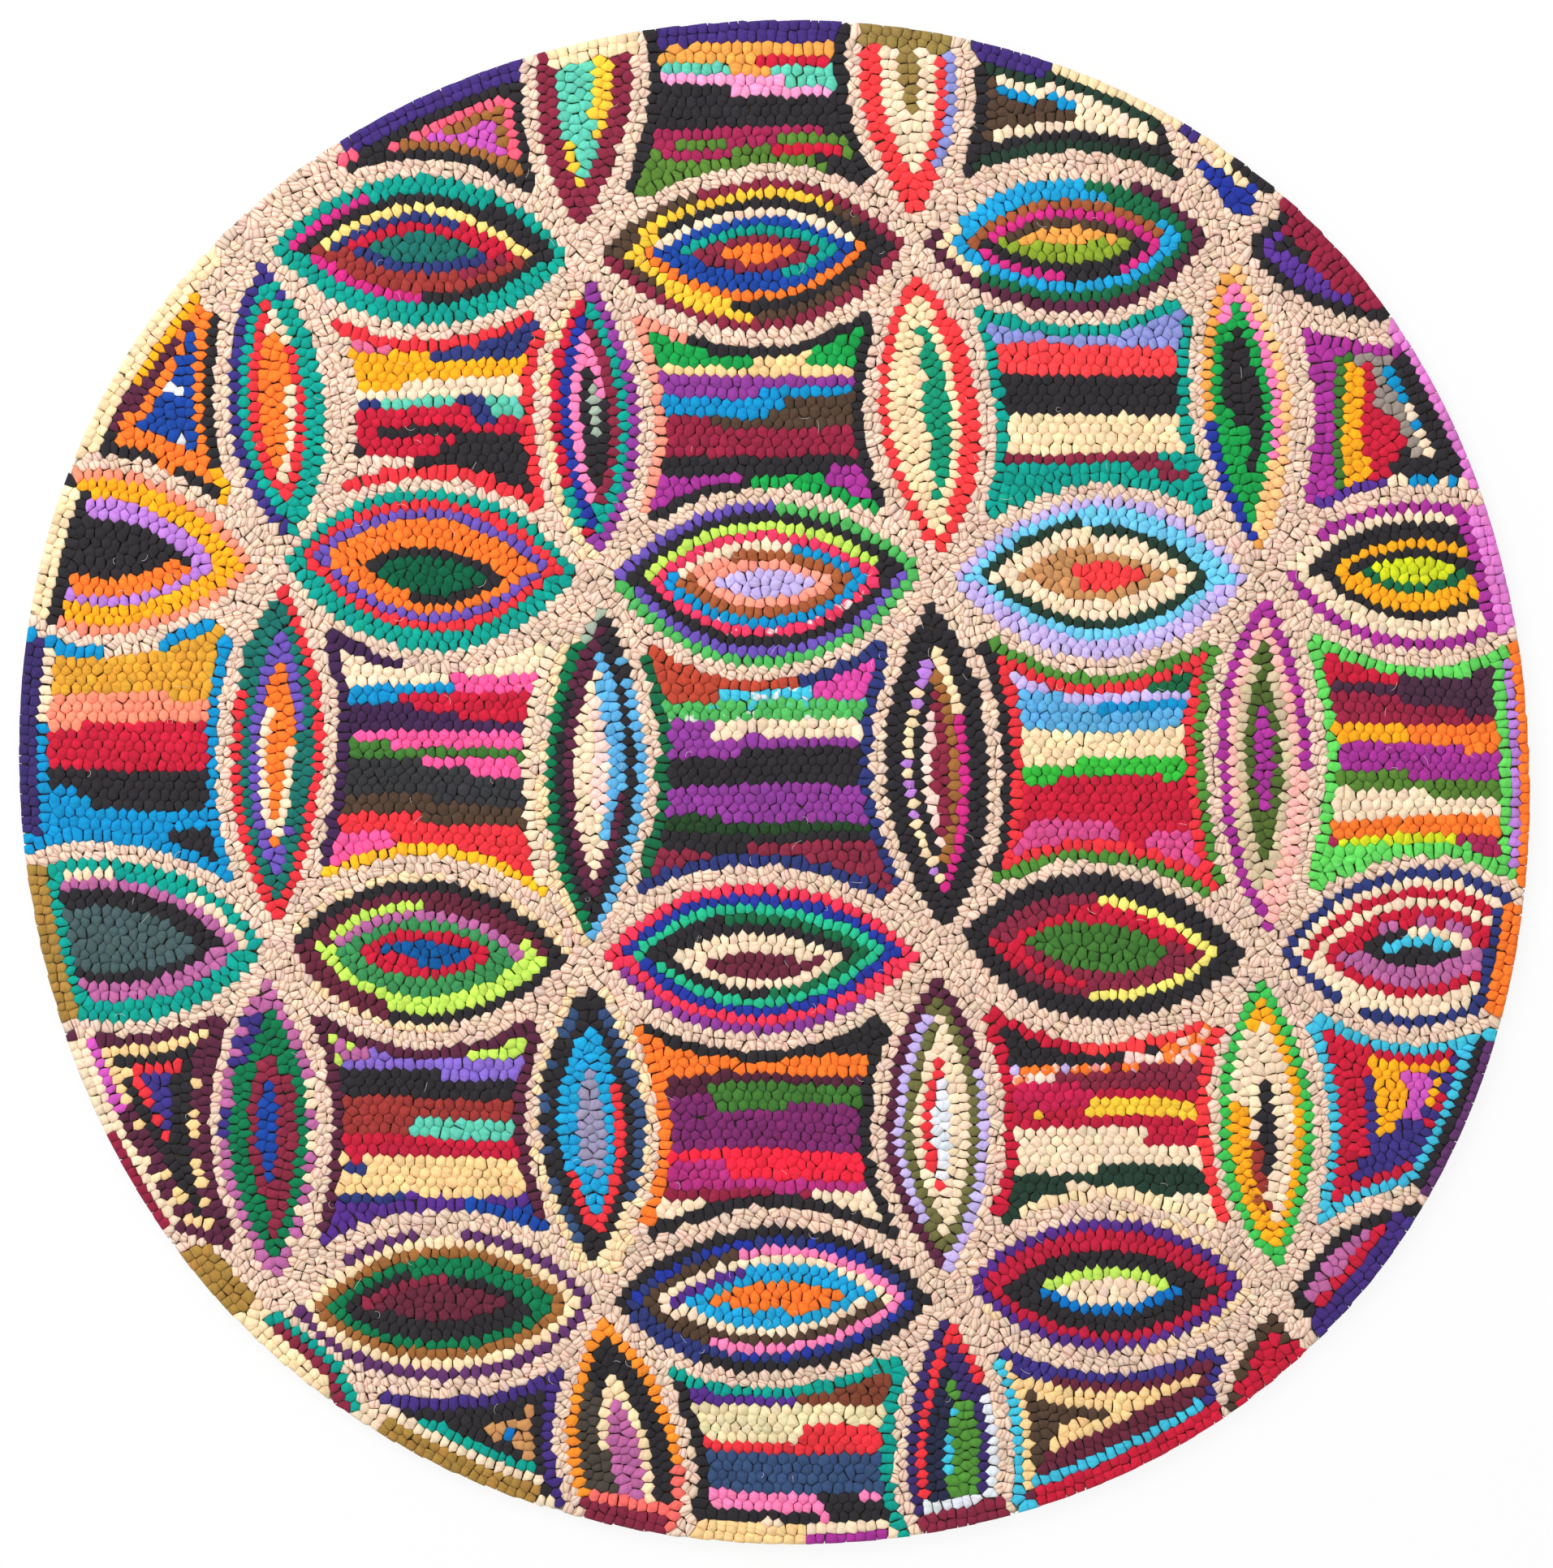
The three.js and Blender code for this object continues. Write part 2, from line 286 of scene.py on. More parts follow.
# A square's neighbours are written with the width of the ground between them and it.
SQUARES = (
    Square("square_0a", "", "eye_1a 13.7", "", "leaf_0a 11.7",
           "black | coralpink; caramel B 12-75 | caramel; orchid B 0-72 | orchid", edge="wall",
           limit="L -345"),
    Square("square_0b", "", "eye_1b 13.5", "leaf_0a 15", "leaf_0b 12",
           "black; moss B 8-75",
           "honey | honey; crimson 58-95 | mint; honey 42-68 | palepink; mint 75-100"
           " | palepink; black 0-42 | black | black | black | raspberry; black 88-100"
           " | raspberry; moss 12-38; moss 62-100 | moss; raspberry 5-42; crimson 60-95"
           " | moss; black 74-100", 586, 495),
    Square("square_0c", "", "eye_1c 17", "leaf_0b 18", "leaf_0c 14",
           "black; blackgreen E 38-66; cream E 66-100; blackgreen B"
           " | cream; brown L; black B; blackgreen E 70-85"
           " | cerulean; brown L; cream B; cream E 60-100 | brown; cerulean B 60-100 | brown",
           edge="wall"),
    Square("square_1z", "", "eye_2z 12", "", "leaf_1a 14.7",
           "black; amber R 64-100; orange B 70-75; amber B 84-100 | orange"
           " | orange; royal R 20-90 | royal; ice Y 37-43; ice Y 60-64",
           edge="plum; amber Y 0-41; black Y 57-100 | orange; plum Y 22-50 | orange",
           limit="T 407"),
    Square("square_1a", "eye_1a 12.6", "eye_2a 11", "leaf_1a 20", "leaf_1b 15",
           "red; natural L",
           "navy; rosepink 0-22; amber 22-45 | amber; navy 45-100 | amber | amber"
           " | cream; amber 0-30 | cream | mint; navy 0-15; navy 60-80"
           " | crimson; mint 75-100; navy 66-78 | crimson; navy 70-85 | crimson; black 10-60"
           " | black; crimson 0-58 | black; crimson 5-50 | black; natural 0-35"
           " | black; natural 0-35", 349, 249),
    Square("square_1b", "eye_1b 13", "eye_2b 12", "leaf_1b 13", "leaf_1c 13",
           "black; salmon T 0-30; green T 82-100; salmon L; green B 48-82",
           "tanbutter; green 0-50; green 75-100 | tanbutter | purple | purple; cerulean 52-100"
           " | cerulean; brown 62-100 | cerulean; brown 60-100 | claret; brown 25-100 | claret"
           " | claret | claret | black | black; cerise 88-100 | cerise; green 48-80", 337, 240),
    Square("square_1c", "eye_1c 11.6", "eye_2c 12.7", "leaf_1c 15", "leaf_1d 12", "teal",
           "periwinkle | coral | coral | coral | black | black | black | black | butter | butter"
           " | butter | butter | burgundy; teal 82-100 | teal; burgundy 68-90"
           " | teal; burgundy 84-100 | teal", 353, 236),
    Square("square_1d", "eye_1d 20", "eye_2d 14", "leaf_1d 20", "",
           "cerise; grape B 0-35; cerulean/cream B 35-100",
           "cerise | leafgreen; cerise Y 0-33 | amber; leafgreen Y 0-36 | amber; taupe Y 0-37"
           " | amber; taupe Y 0-37; crimson Y 37-64 | crimson; taupe Y 0-51"
           " | crimson; taupe Y 0-51 | crimson; taupe Y 0-51; black Y 62-100"
           " | black; taupe Y 0-52; crimson Y 52-62 | taupe; black Y 62-70", 444.3, 511.8,
           edge="black | black | cerulean/cream | taupe", lay="columns"),
    Square("square_2z", "eye_2z 11", "eye_3z 15", "", "leaf_2a 13", "cerulean; natural T 55-70",
           "ochre | ochre | ochre | ochre | ochre | apricot; ochre 75-100 | apricot | apricot"
           " | crimson; apricot 0-30 | crimson | crimson | crimson | crimson | black | black"
           " | black; cerulean 0-28 | black; cerulean 0-30 | cerulean | cerulean"
           " | cerulean; black 72-100", 105, -40, edge="cerulean; cream Y 0-45"),
    Square("square_2a", "eye_2a 11", "eye_3a 20", "leaf_2a 12", "leaf_2b 12",
           "aubergine; natural T 40-100; cream R; marigold B",
           "cream | cream | cream; hotpink 55-100 | cerulean; hotpink 55-100"
           " | crimson; cerulean 0-32 | crimson; aubergine 0-35 | aubergine; crimson 60-100"
           " | aubergine | hotpink | hotpink; leafgreen 0-25 | leafgreen"
           " | hotpink; charcoal 0-45 | charcoal; hotpink 70-100 | charcoal | charcoal"
           " | charcoal; brown 0-50 | brown | red; brown 45-100 | red | red; hotpink 0-30",
           97, -45),
    Square("square_2b", "eye_2b 11.5", "eye_3b 16", "leaf_2b 12", "leaf_2c 12",
           "pine; navy R; navy B; rust T 0-60; navy T 60-100",
           "rust; fuchsia 82-100 | rust; fuchsia 76-100 | rust; fuchsia 70-100"
           " | cyan+white; rust 0-25; fuchsia 72-100 | spring+cyan | spring+white"
           " | cream; purple 0-22 | cream; purple 0-22 | purple | purple; black 35-100 | black"
           " | black | black | purple | purple | purple | purple; darkmoss 0-28 | darkmoss"
           " | black | black; burgundy 40-100 | burgundy", 92, -60),
    Square("square_2c", "eye_2c 12.5", "eye_3c 12", "leaf_2c 12", "leaf_2d 12",
           "grass; black L | red",
           "lavender; pine 62-100 | lavender; skyblue 0-30 | skyblue; cerulean 50-100 | skyblue"
           " | skyblue | butter | butter | butter | butter; brightgreen 34-100 | brightgreen"
           " | brightgreen; crimson 25-80 | crimson | crimson | crimson | crimson"
           " | crimson; dustypink 5-55 | crimson; dustypink 0-55; dustypink 75-100"
           " | crimson; dustypink 0-52; dustypink 74-100", 76, -50),
    Square("square_2d", "eye_2d 14.6", "eye_3d 11", "leaf_2d 13", "", "lightgreen",
           "crimson; darkplum 60-100 | crimson; darkplum 58-100 | crimson; darkplum 55-100"
           " | crimson; darkplum 42-100 | darkplum | claret; darkplum 40-100"
           " | claret; darkplum 78-100 | claret | amber; orange 42-100 | amber; orange 42-100"
           " | cerise; orange 70-100 | cerise | cerise | cerise; moss 0-42 | moss"
           " | cream; moss 55-100 | cream | cream | orange | orange"
           " | raspberry; lemonlime 8-70 | lightgreen; raspberry 78-98", 103, -54,
           edge="lilac | lightgreen"),
    Square("square_3z", "eye_3z 11.7", "eye_4z 14", "", "leaf_3a 10",
           "plum | tanbutter; plum/tanbutter R | black | red; black R | nightviolet",
           edge="orchid; plum/butter Y 45-100 | tanbutter; plum/tanbutter Y 45-100"
                " | black; tanbutter Y 0-40 | black; red Y 20-60"),
    Square("square_3a", "eye_3a 20", "eye_4a 17", "leaf_3a 12.5", "leaf_3b 12",
           "plum; royalviolet B 8-62; royal B 62-92",
           "softviolet; lime/mauve 0-22; lime 70-100 | softviolet | black; softviolet 55-100 | black"
           " | black | brick | brick | mint; brick 0-40 | mint; brick 0-38 | crimson | ruby"
           " | tanbutter; crimson 0-14 | tanbutter; navy 0-14 | tanbutter | tanbutter"
           " | royalviolet; navy 0-36 | royalviolet; royal 62-100", -219, -341),
    Square("square_3b", "eye_3b 15", "eye_4b 17", "leaf_3b 12", "leaf_3c 12",
           "black; orange L",
           "orange; black 70-100 | orange | orange | darkmaroon | leafgreen; darkmaroon 0-20"
           " | leafgreen; purpleplum 0-20 | purpleplum; leafgreen 20-62 | purpleplum | purpleplum"
           " | purpleplum | purpleplum | scarlet | scarlet; mulberry 0-28"
           " | scarlet; mulberry 0-32 | mulberry | claret; cream 70-100"
           " | cream; black 38-68", -216, -336),
    Square("square_3c", "eye_3c 20", "eye_4c 17", "leaf_3c 13", "leaf_3d 10",
           "crimson; coralred R; coralred T 45-100; blackgreen B 0-25; butter B 25-88;"
           " coralred B 88-100",
           "black; orange+blush/blush+orange 72-100 | black; orange+blush/blush+orange 66-100"
           " | burgundy; orange+blush/lavender+orange 0-52; orange+lavender 60-72"
           " | burgundy; blush+orange 0-20 | burgundy; cherry 0-40 | ruby; cherry 0-45"
           " | gold; cherry 0-42 | gold; ruby 0-38; gold 12-18 | ruby"
           " | cream; ruby 72-100 | cream; ruby 74-100 | cream | cream"
           " | cream; blackgreen 42-100 | blackgreen | blackgreen; cream 30-60"
           " | cream; blackgreen 0-30", -214, -332),
    Square("square_3d", "eye_3d 15", "eye_4d 15", "leaf_3d 13", "",
           "cyan | crimson | crimson; amber T 24-50; nightviolet B"
           " | crimson; amber T 24-35; orchid T 35-44; nightviolet T 44-60; nightviolet B"
           " | nightviolet; amber T 27-35; orchid T 35-43 | amber; orchid T 35-43; nightviolet B"
           " | amber; orchid T 35-44; nightviolet B",
           edge="cyan | nightviolet/crimson | nightviolet; amber Y 28-46"),
    Square("square_4z", "eye_4a 16", "", "leaf_4z 14", "leaf_4a 12",
           "indigo; teal R 60-100 | black | tan; black T 30-70 | tan | blue",
           edge="cream | teal | black | tan"),
    Square("square_4a", "eye_4b 12.5", "", "leaf_4a 12", "leaf_4b 12",
           "teal; black L",
           "royalviolet; chestnut 52-100 | royalviolet; chestnut 56-100 | khakicream | khakicream"
           " | khakicream; red 58-100 | khakicream; red 58-100 | red | steelblue | steelblue"
           " | steelblue | steelblue | pink; black 62-85 | pink; black 62-100"
           " | black; pink 60-66 | cream; teal 10-30; teal 55-75 | cream", -487, -600),
    Square("square_4b", "eye_4c 20", "", "leaf_4b 14", "leaf_4c 12",
           "nightviolet; cyan L | maroon; nightviolet T 0-30; tanbutter L"
           " | tanbutter; brown L | tanbutter; brown L | brown",
           edge="cyan; cyan/maroon Y 60-100 | maroon | maroon | tanbutter | tanbutter"),
)

# Rows of loops that follow the rug's edge, in degrees anticlockwise from the right: how many rows,
# the yarn of the outer one, and that of the others where it differs. Where there is no band, the
# ground runs out to the edge.
EDGE_BANDS = (
    Band(-7.5, 10.4, 1, "orange"),
    Band(11.8, 21.3, 2, "lightorchid"),
    Band(23, 36.3, 1, "lightorchid"),
    Band(38.1, 49, 1, "claret"),
    Band(50, 53.7, 1, "black"),
    Band(53.7, 56.8, 1, "butter"),
    Band(57, 58.5, 1, "indigo"),
    Band(58.5, 68.9, 1, "butter"),
    Band(68.9, 74.8, 2, "indigo"),
    Band(76.5, 83.4, 2, "khaki"),
    Band(84.9, 98.7, 2, "indigo"),
    Band(100.7, 107.3, 2, "butter"),
    Band(109.8, 123.9, 2, "indigo"),
    Band(136.8, 154.6, 2, "butter"),
    Band(157.2, 167.5, 2, "butter"),
    Band(169.2, 184.1, 2, "deepindigo"),
    Band(186.7, 198.3, 2, "oldgold"),
    Band(200, 208, 2, "cream"),
    Band(208, 216.2, 2, "claret", "cream"),
    Band(218.9, 224.8, 3, "oldgold"),
    Band(226.6, 233.6, 2, "butter"),
    Band(236.2, 238.4, 2, "cream"),
    Band(238.4, 251.7, 2, "oldgold"),
    Band(255.1, 261.8, 2, "burgundy"),
    Band(264.2, 272.3, 2, "tanbutter"),
    Band(272.3, 278.7, 2, "cerise", "cream"),
    Band(281.3, 287.7, 2, "burgundy"),
    Band(289.9, 305.5, 2, "crimson"),
    Band(307.3, 313, 2, "crimson"),
    Band(314.4, 325.3, 2, "indigo"),
    Band(327.5, 340.1, 2, "damson", "black"),
    Band(342, 350.8, 2, "orange"),
)

# ---------------------------------------------------------------- settings


class RugSizes(bpy.types.PropertyGroup):
    """Sizes that a rug maker would change."""

    row: bpy.props.FloatProperty(
        name="Row", description="Width of a row of cotton loops", default=7.5 * MM, unit="LENGTH")
    pitch: bpy.props.FloatProperty(
        name="Pitch", description="Distance between loops along a row", default=8.2 * MM,
        unit="LENGTH")
    ground_row: bpy.props.FloatProperty(
        name="Ground row", description="Width of a row of ground loops", default=7.2 * MM,
        unit="LENGTH")
    ground_pitch: bpy.props.FloatProperty(
        name="Ground pitch", description="Distance between ground loops along a row",
        default=6.8 * MM, unit="LENGTH")
    crease: bpy.props.FloatProperty(
        name="Crease", description="Gap between two loops at the shoulder, or less than nothing "
        "where they press into each other", default=-0.3 * MM, unit="LENGTH")
    jitter: bpy.props.FloatProperty(
        name="Jitter", description="How far a loop stands off its row", default=1.0 * MM,
        unit="LENGTH")
    tooth: bpy.props.FloatProperty(
        name="Tooth", description="How far a loop's ends push into the rows beside it, in percent "
        "of its reach", default=40.0, min=0, max=100, subtype="PERCENTAGE")
    base_height: bpy.props.FloatProperty(
        name="Base cloth", description="Thickness of the base cloth", default=2.8 * MM,
        unit="LENGTH")
    wander: bpy.props.FloatProperty(
        name="Wander", description="How far the hand-drawn lines stray", default=1.8 * MM,
        unit="LENGTH")


class RugYarns(bpy.types.PropertyGroup):
    """One colour for each yarn in the chart."""


for yarn_name, yarn_steps in YARNS.items():
    RugYarns.__annotations__[yarn_name] = bpy.props.FloatVectorProperty(
        name=yarn_name.capitalize(), description=f"Colour of the {yarn_name} yarn",
        default=[step / 255 for step in yarn_steps], size=3, min=0, max=1, subtype="COLOR_GAMMA")

# ---------------------------------------------------------------- reading the chart

Mark = namedtuple("Mark", "yarn side start stop")
Wall = namedtuple("Wall", "letter centre radius sign")
Reading = namedtuple("Reading", "inside depth nearest rim")
SIDES = "TBLRXYE"
ACROSS = ("", "T", "B", "X")

BEYOND = 700.0  # millimetres from the middle, past the rug's edge on every side
NODE_CLEAR = 56.0  # millimetres of ground round the points where eyes and leaves meet
BAND_ROWS = 2  # rows that the bands along the rug's edge usually have
STRAY = 1.6  # percent by which a change of yarn strays from loop to loop


def read_marks(text):
    """One ring or row of the chart as its list of marks."""
    marks = []
    for words in (mark.split() for mark in text.split(";")):
        side = next((word for word in words[1:] if word in SIDES), "")
        stretch = next((word for word in words[1:] if "-" in word), "0-100")
        start, stop = (float(end) for end in stretch.split("-"))
        marks.append(Mark(words[0], side, start, stop))
    return marks


def read_rings(text):
    """The rings or rows of a motif, each a list of marks."""
    return [read_marks(ring) for ring in text.split("|")] if text else []


def arc_between(start, stop, bulge, side):
    """Centre and radius of the arc that bulges to the left (1) or right (-1) of start to stop."""
    start = np.array(start, float)
    stop = np.array(stop, float)
    half = np.hypot(*(stop - start)) / 2
    radius = (half ** 2 + bulge ** 2) / (2 * bulge)
    along = (stop - start) / (2 * half)
    left = np.array((-along[1], along[0]))
    return (start + stop) / 2 + left * side * (bulge - radius), radius


class Edge:
    """The rug's outline and the bands of loops that follow it."""

    SIDE = 0.9  # share of the furthest reach beyond which a corner is on the rug's side
    WINDOW = 3.0  # degrees to either side in which a corner is compared with the outermost
    SLACK = 1.6  # millimetres inside the outermost that still count as the outline

    def __init__(self, node, row):
        points = np.array([vertex.co[:] for vertex in node.data.vertices]) / MM
        reach = np.hypot(points[:, 0], points[:, 1])
        outer = points[reach > reach.max() * self.SIDE]
        angle = np.degrees(np.arctan2(outer[:, 1], outer[:, 0])) % 360
        reach = np.hypot(outer[:, 0], outer[:, 1])
        apart = np.abs((angle[:, None] - angle + 180) % 360 - 180)
        tallest = np.where(apart < self.WINDOW, reach, 0).max(axis=1)
        rim = reach > tallest - self.SLACK
        self.angles, first = np.unique(angle[rim], return_index=True)
        self.radii = reach[rim][first]
        self.row = row

    def radius(self, angle):
        """Distance from the middle to the edge, at angles in degrees."""
        return np.interp(np.asarray(angle) % 360, self.angles, self.radii, period=360)

    def gap(self, xy):
        """How far points lie inside the edge."""
        angle = np.degrees(np.arctan2(xy[:, 1], xy[:, 0]))
        return self.radius(angle) - np.hypot(xy[:, 0], xy[:, 1])

    def band_index(self, xy):
        """Which band of the edge each point's direction falls in, or -1."""
        angle = np.degrees(np.arctan2(xy[:, 1], xy[:, 0])) % 360
        found = np.full(len(xy), -1)
        for index, band in enumerate(EDGE_BANDS):
            turn = (angle - band.start) % 360
            found[turn < band.stop - band.start] = index
        return found

    def width(self, xy):
        """Width of the bands at each point's direction."""
        rows = np.array([band.rows for band in EDGE_BANDS] + [0])
        return rows[self.band_index(xy)] * self.row


def row_count(height, row):
    """The whole number of rows that comes nearest to filling a height."""
    return max(1, round(height / row))


class Patch:
    """One motif: the walls round it, and the rings and rows of yarn inside."""

    def __init__(self, motif, kind, walls, box, row, axis=None, nodes=()):
        self.name = motif.name
        self.kind = kind
        self.walls = walls
        self.box = box
        self.row = row
        self.axis = axis
        self.nodes = nodes
        self.rings = read_rings(motif.rings)
        self.edge = motif.edge
        self.edge_rings = [] if motif.edge in ("cut", "wall") else read_rings(motif.edge)
        self.fill = read_rings(motif.fill) if kind == "square" else []
        self.halo = read_marks(motif.halo) if kind != "square" and motif.halo else []
        self.columns = kind == "square" and motif.lay == "columns"
        if self.fill:
            self.first = motif.top
            self.step = (motif.bottom - motif.top) / max(1, len(self.fill) - 1)

    def letters(self):
        """The letter of each wall, and of the rug's edge, in the order of the depths read."""
        return [wall.letter for wall in self.walls] + ["E"]

    def read(self, xy, edge):
        """Where points lie: inside or not, how deep, from which wall, and how far from the edge."""
        depths = [wall.sign * (wall.radius - np.hypot(*(xy - wall.centre).T))
                  for wall in self.walls]
        rim = edge.gap(xy) - edge.width(xy)
        depths.append(rim if self.edge == "wall" else np.full(len(xy), np.inf))
        depths = np.array(depths)
        left, right, bottom, top = self.box
        boxed = (xy[:, 0] > left) & (xy[:, 0] < right) & (xy[:, 1] > bottom) & (xy[:, 1] < top)
        for node in self.nodes:
            boxed &= np.hypot(*(xy - node).T) > NODE_CLEAR
        depth = depths.min(axis=0)
        return Reading((depth > 0) & (rim > 0) & boxed, depth, depths.argmin(axis=0), rim)

    def in_column(self, reading):
        """Points that belong to the rings along the rug's edge."""
        return (reading.rim < len(self.edge_rings) * self.row) & (reading.rim < reading.depth)

    def in_fill(self, reading):
        """Points that belong to the straight rows inside the rings."""
        deep = reading.depth > len(self.rings) * self.row
        return deep & ~self.in_column(reading) & bool(self.fill)

    def percents(self, xy):
        """How far points lie across, from left to right, and down, from top to bottom."""
        if self.kind == "square":
            left, right, bottom, top = self.box
            return ((xy[:, 0] - left) / (right - left) * 100,
                    (top - xy[:, 1]) / (top - bottom) * 100)
        start, stop = self.axis
        length = np.hypot(*(stop - start))
        along = (xy - start) @ (stop - start) / length ** 2 * 100
        return along, along

    def fill_percent(self, xy, edge):
        """How far points lie along their straight row."""
        inset = len(self.rings) * self.row
        reach = np.sqrt(np.maximum(0, edge.radius(0) ** 2 - xy[:, 1] ** 2)) - BAND_ROWS * self.row
        low = -reach
        high = reach.copy()
        for wall in self.walls:
            if wall.letter not in "LR":
                continue
            half = np.sqrt(np.maximum(0, (wall.radius + inset) ** 2
                                      - (xy[:, 1] - wall.centre[1]) ** 2))
            if wall.letter == "L":
                low = wall.centre[0] + half
            else:
                high = wall.centre[0] - half
        return (xy[:, 0] - low) / np.maximum(high - low, 1) * 100

    def side_masks(self, xy, nearest):
        """Which side each point is on, for the letters of the chart."""
        everywhere = np.ones(len(xy), bool)
        masks = {"": everywhere, "X": everywhere, "Y": everywhere}
        if self.kind == "square":
            for index, letter in enumerate(self.letters()):
                masks[letter] = nearest == index
            return masks
        start, stop = self.axis
        line = stop - start
        left = line[0] * (xy[:, 1] - start[1]) - line[1] * (xy[:, 0] - start[0]) > 0
        masks.update({"T": left, "B": ~left, "R": left, "L": ~left})
        return masks

    def paint(self, xy, edge, rng):
        """The yarn of each point inside, as text."""
        reading = self.read(xy, edge)
        across, down = self.percents(xy)
        column = self.in_column(reading)
        fill = self.in_fill(reading)
        ring = ~column & ~fill
        masks = self.side_masks(xy, reading.nearest)
        yarns = np.full(len(xy), "", dtype="U48")
        stray = rng.normal(0, STRAY, len(xy))
        lay_at = xy[:, 0] if self.columns else xy[:, 1]
        jobs = [
            (ring, self.rings, np.floor(reading.depth / self.row), across, down),
            (column, self.edge_rings, np.floor(reading.rim / self.row), across, down),
        ]
        if self.fill:
            along = self.fill_percent(xy, edge)
            jobs.append((fill, self.fill, np.round((lay_at - self.first) / self.step), along, down))
        for chosen, table, index, cross, deep in jobs:
            index = np.clip(index, 0, len(table) - 1)
            for number, marks in enumerate(table):
                here = chosen & (index == number)
                yarns[here] = marks[0].yarn
                for mark in marks[1:] if not marks[0].side else marks:
                    percent = (cross if mark.side in ACROSS else deep) + stray
                    side = masks.get(mark.side, ~masks[""])
                    match = here & side & (percent >= mark.start) & (percent < mark.stop)
                    yarns[match] = mark.yarn
        return yarns


def lens_patch(motif, kind, row):
    """An eye or a leaf between its two tips."""
    if kind == "eye":
        start, stop = motif.left, motif.right
        bulges = (("T", motif.rise, 1), ("B", motif.drop, -1))
    else:
        start, stop = motif.top, motif.bottom
        bulges = (("R", motif.right, 1), ("L", motif.left, -1))
    walls = []
    for letter, bulge, side in bulges:
        centre, radius = arc_between(start, stop, bulge, side)
        walls.append(Wall(letter, centre, radius, 1))
    height = bulges[0][1] + bulges[1][1]
    ends = np.array((start, stop), float)
    low = ends.min(axis=0) - height
    high = ends.max(axis=0) + height
    box = limited([low[0], high[0], low[1], high[1]], motif.limit)
    return Patch(motif, kind, walls, box, height / row_count(height, row), ends)


def limited(box, limit):
    """The box of a motif, cut at its limit."""
    if limit:
        side, place = limit.split()
        box["LRBT".index(side)] = float(place)
    return box


def square_nodes(motif, lenses):
    """The points where the eyes and leaves round a square meet."""
    ends = {side: lenses[text.split()[0]].axis for side, text in (
        ("T", motif.above), ("B", motif.below), ("L", motif.left), ("R", motif.right)) if text}
    nodes = []
    for eye, leaf in ("TL", "TR", "BL", "BR"):
        tips = []
        if eye in ends:
            tips.append(ends[eye][1 if leaf == "R" else 0])
        if leaf in ends:
            tips.append(ends[leaf][1 if eye == "B" else 0])
        if tips:
            nodes.append(np.mean(tips, axis=0))
    return nodes


def square_patch(motif, lenses, row):
    """The four-sided field between two eyes and two leaves, or what the edge leaves of it."""
    walls = []
    box = [-BEYOND, BEYOND, -BEYOND, BEYOND]
    # Each side's letter and neighbour, the neighbour's arc that faces it, the place in the box where
    # the line between the neighbour's tips goes, and the axis that the line is measured on.
    sides = (("T", motif.above, "B", 3, 1), ("B", motif.below, "T", 2, 1),
             ("L", motif.left, "R", 0, 0), ("R", motif.right, "L", 1, 0))
    for letter, neighbour, facing, slot, axis in sides:
        if not neighbour:
            continue
        name, ground = neighbour.split()
        lens = lenses[name]
        wall = next(wall for wall in lens.walls if wall.letter == facing)
        walls.append(Wall(letter, wall.centre, wall.radius + float(ground), -1))
        box[slot] = lens.axis[:, axis].mean()
    return Patch(motif, "square", walls, limited(box, motif.limit), row,
                 nodes=square_nodes(motif, lenses))


# ---------------------------------------------------------------- hooking the loops

# The two styles of loop, and the kinds of row in the order in which they are laid.
COTTON, GROUND = 0, 1
RIM, OUTLINE, RING, FILL, FIELD = range(5)
Row = namedtuple("Row", "xy turn level style")

IN_STEP = 3  # neighbouring rows that share one angular step, so that their loops interlock
PHASE_X, PHASE_Y = 0.37, 0.61  # shares of a wall's centre that give its rows a start of their own
MOST_RINGS = 12  # more than the widest motif holds
CORNER_SLACK = 0.2  # share of a row by which a ring passes the line where another wall is nearer
SPARE_ROWS = 6  # straight rows tried before the first charted one and after the last
ROW_REACH = 640.0  # millimetres from the middle where a straight row ends, past the rug's edge
ROW_SLIP = 0.3  # millimetres by which a straight row starts early or late
BOW = 1.3  # millimetres by which a straight row bends
BOW_LENGTH = 31.0  # millimetres in which the bend turns by one radian
BOW_START = 6.3  # radians, the most by which the bend is shifted
GROUND_ROWS = 5  # ground rows tried outside each motif
EDGE_ROOM = 0.4  # share of a ground row that stays free beside the rug's edge

# The nearest that two loops may stand, as a share of their two sizes together: in the rows, and in
# the gaps that the rows leave.
ROW_SPACING = 0.80
GAP_SPACING = 0.86
CELL = 10.0  # millimetres, further than any two loops crowd each other
GAP_STEP = 2.5  # millimetres between the places tried in the gaps
GAP_EDGE = 3.2  # millimetres that a loop in a gap keeps from the rug's edge
# How much of the full tooth the loops of each kind of row have.
TEETH = (0.1, 1.0, 0.8, 0.4, 0.3)

HALO_REACH = 9.0  # millimetres from an outline in which its second ground yarn is mixed in
HALO_SHARE = 0.8  # share of the loops there that have it

DRIFT = 0.022  # how far shades drift over the rug, as a share of their brightness
DRIFT_X, DRIFT_Y = 23.0, 9.0  # millimetres in which the drift turns by one radian
SHADE, SHADE_MOST = 0.028, 0.07  # how far a loop is darker or lighter than its yarn
TINT, TINT_MOST = 0.012, 0.03  # how far each of its three colours strays

SIZE_STRAY = 0.13  # how far loops differ in size
SIZE_LIMITS = (-0.24, 0.32)
STEADY = 8.0  # millimetres from the rug's edge in which the drawn lines don't stray
STEADY_FADE = 40.0  # millimetres in which the straying grows to its full size
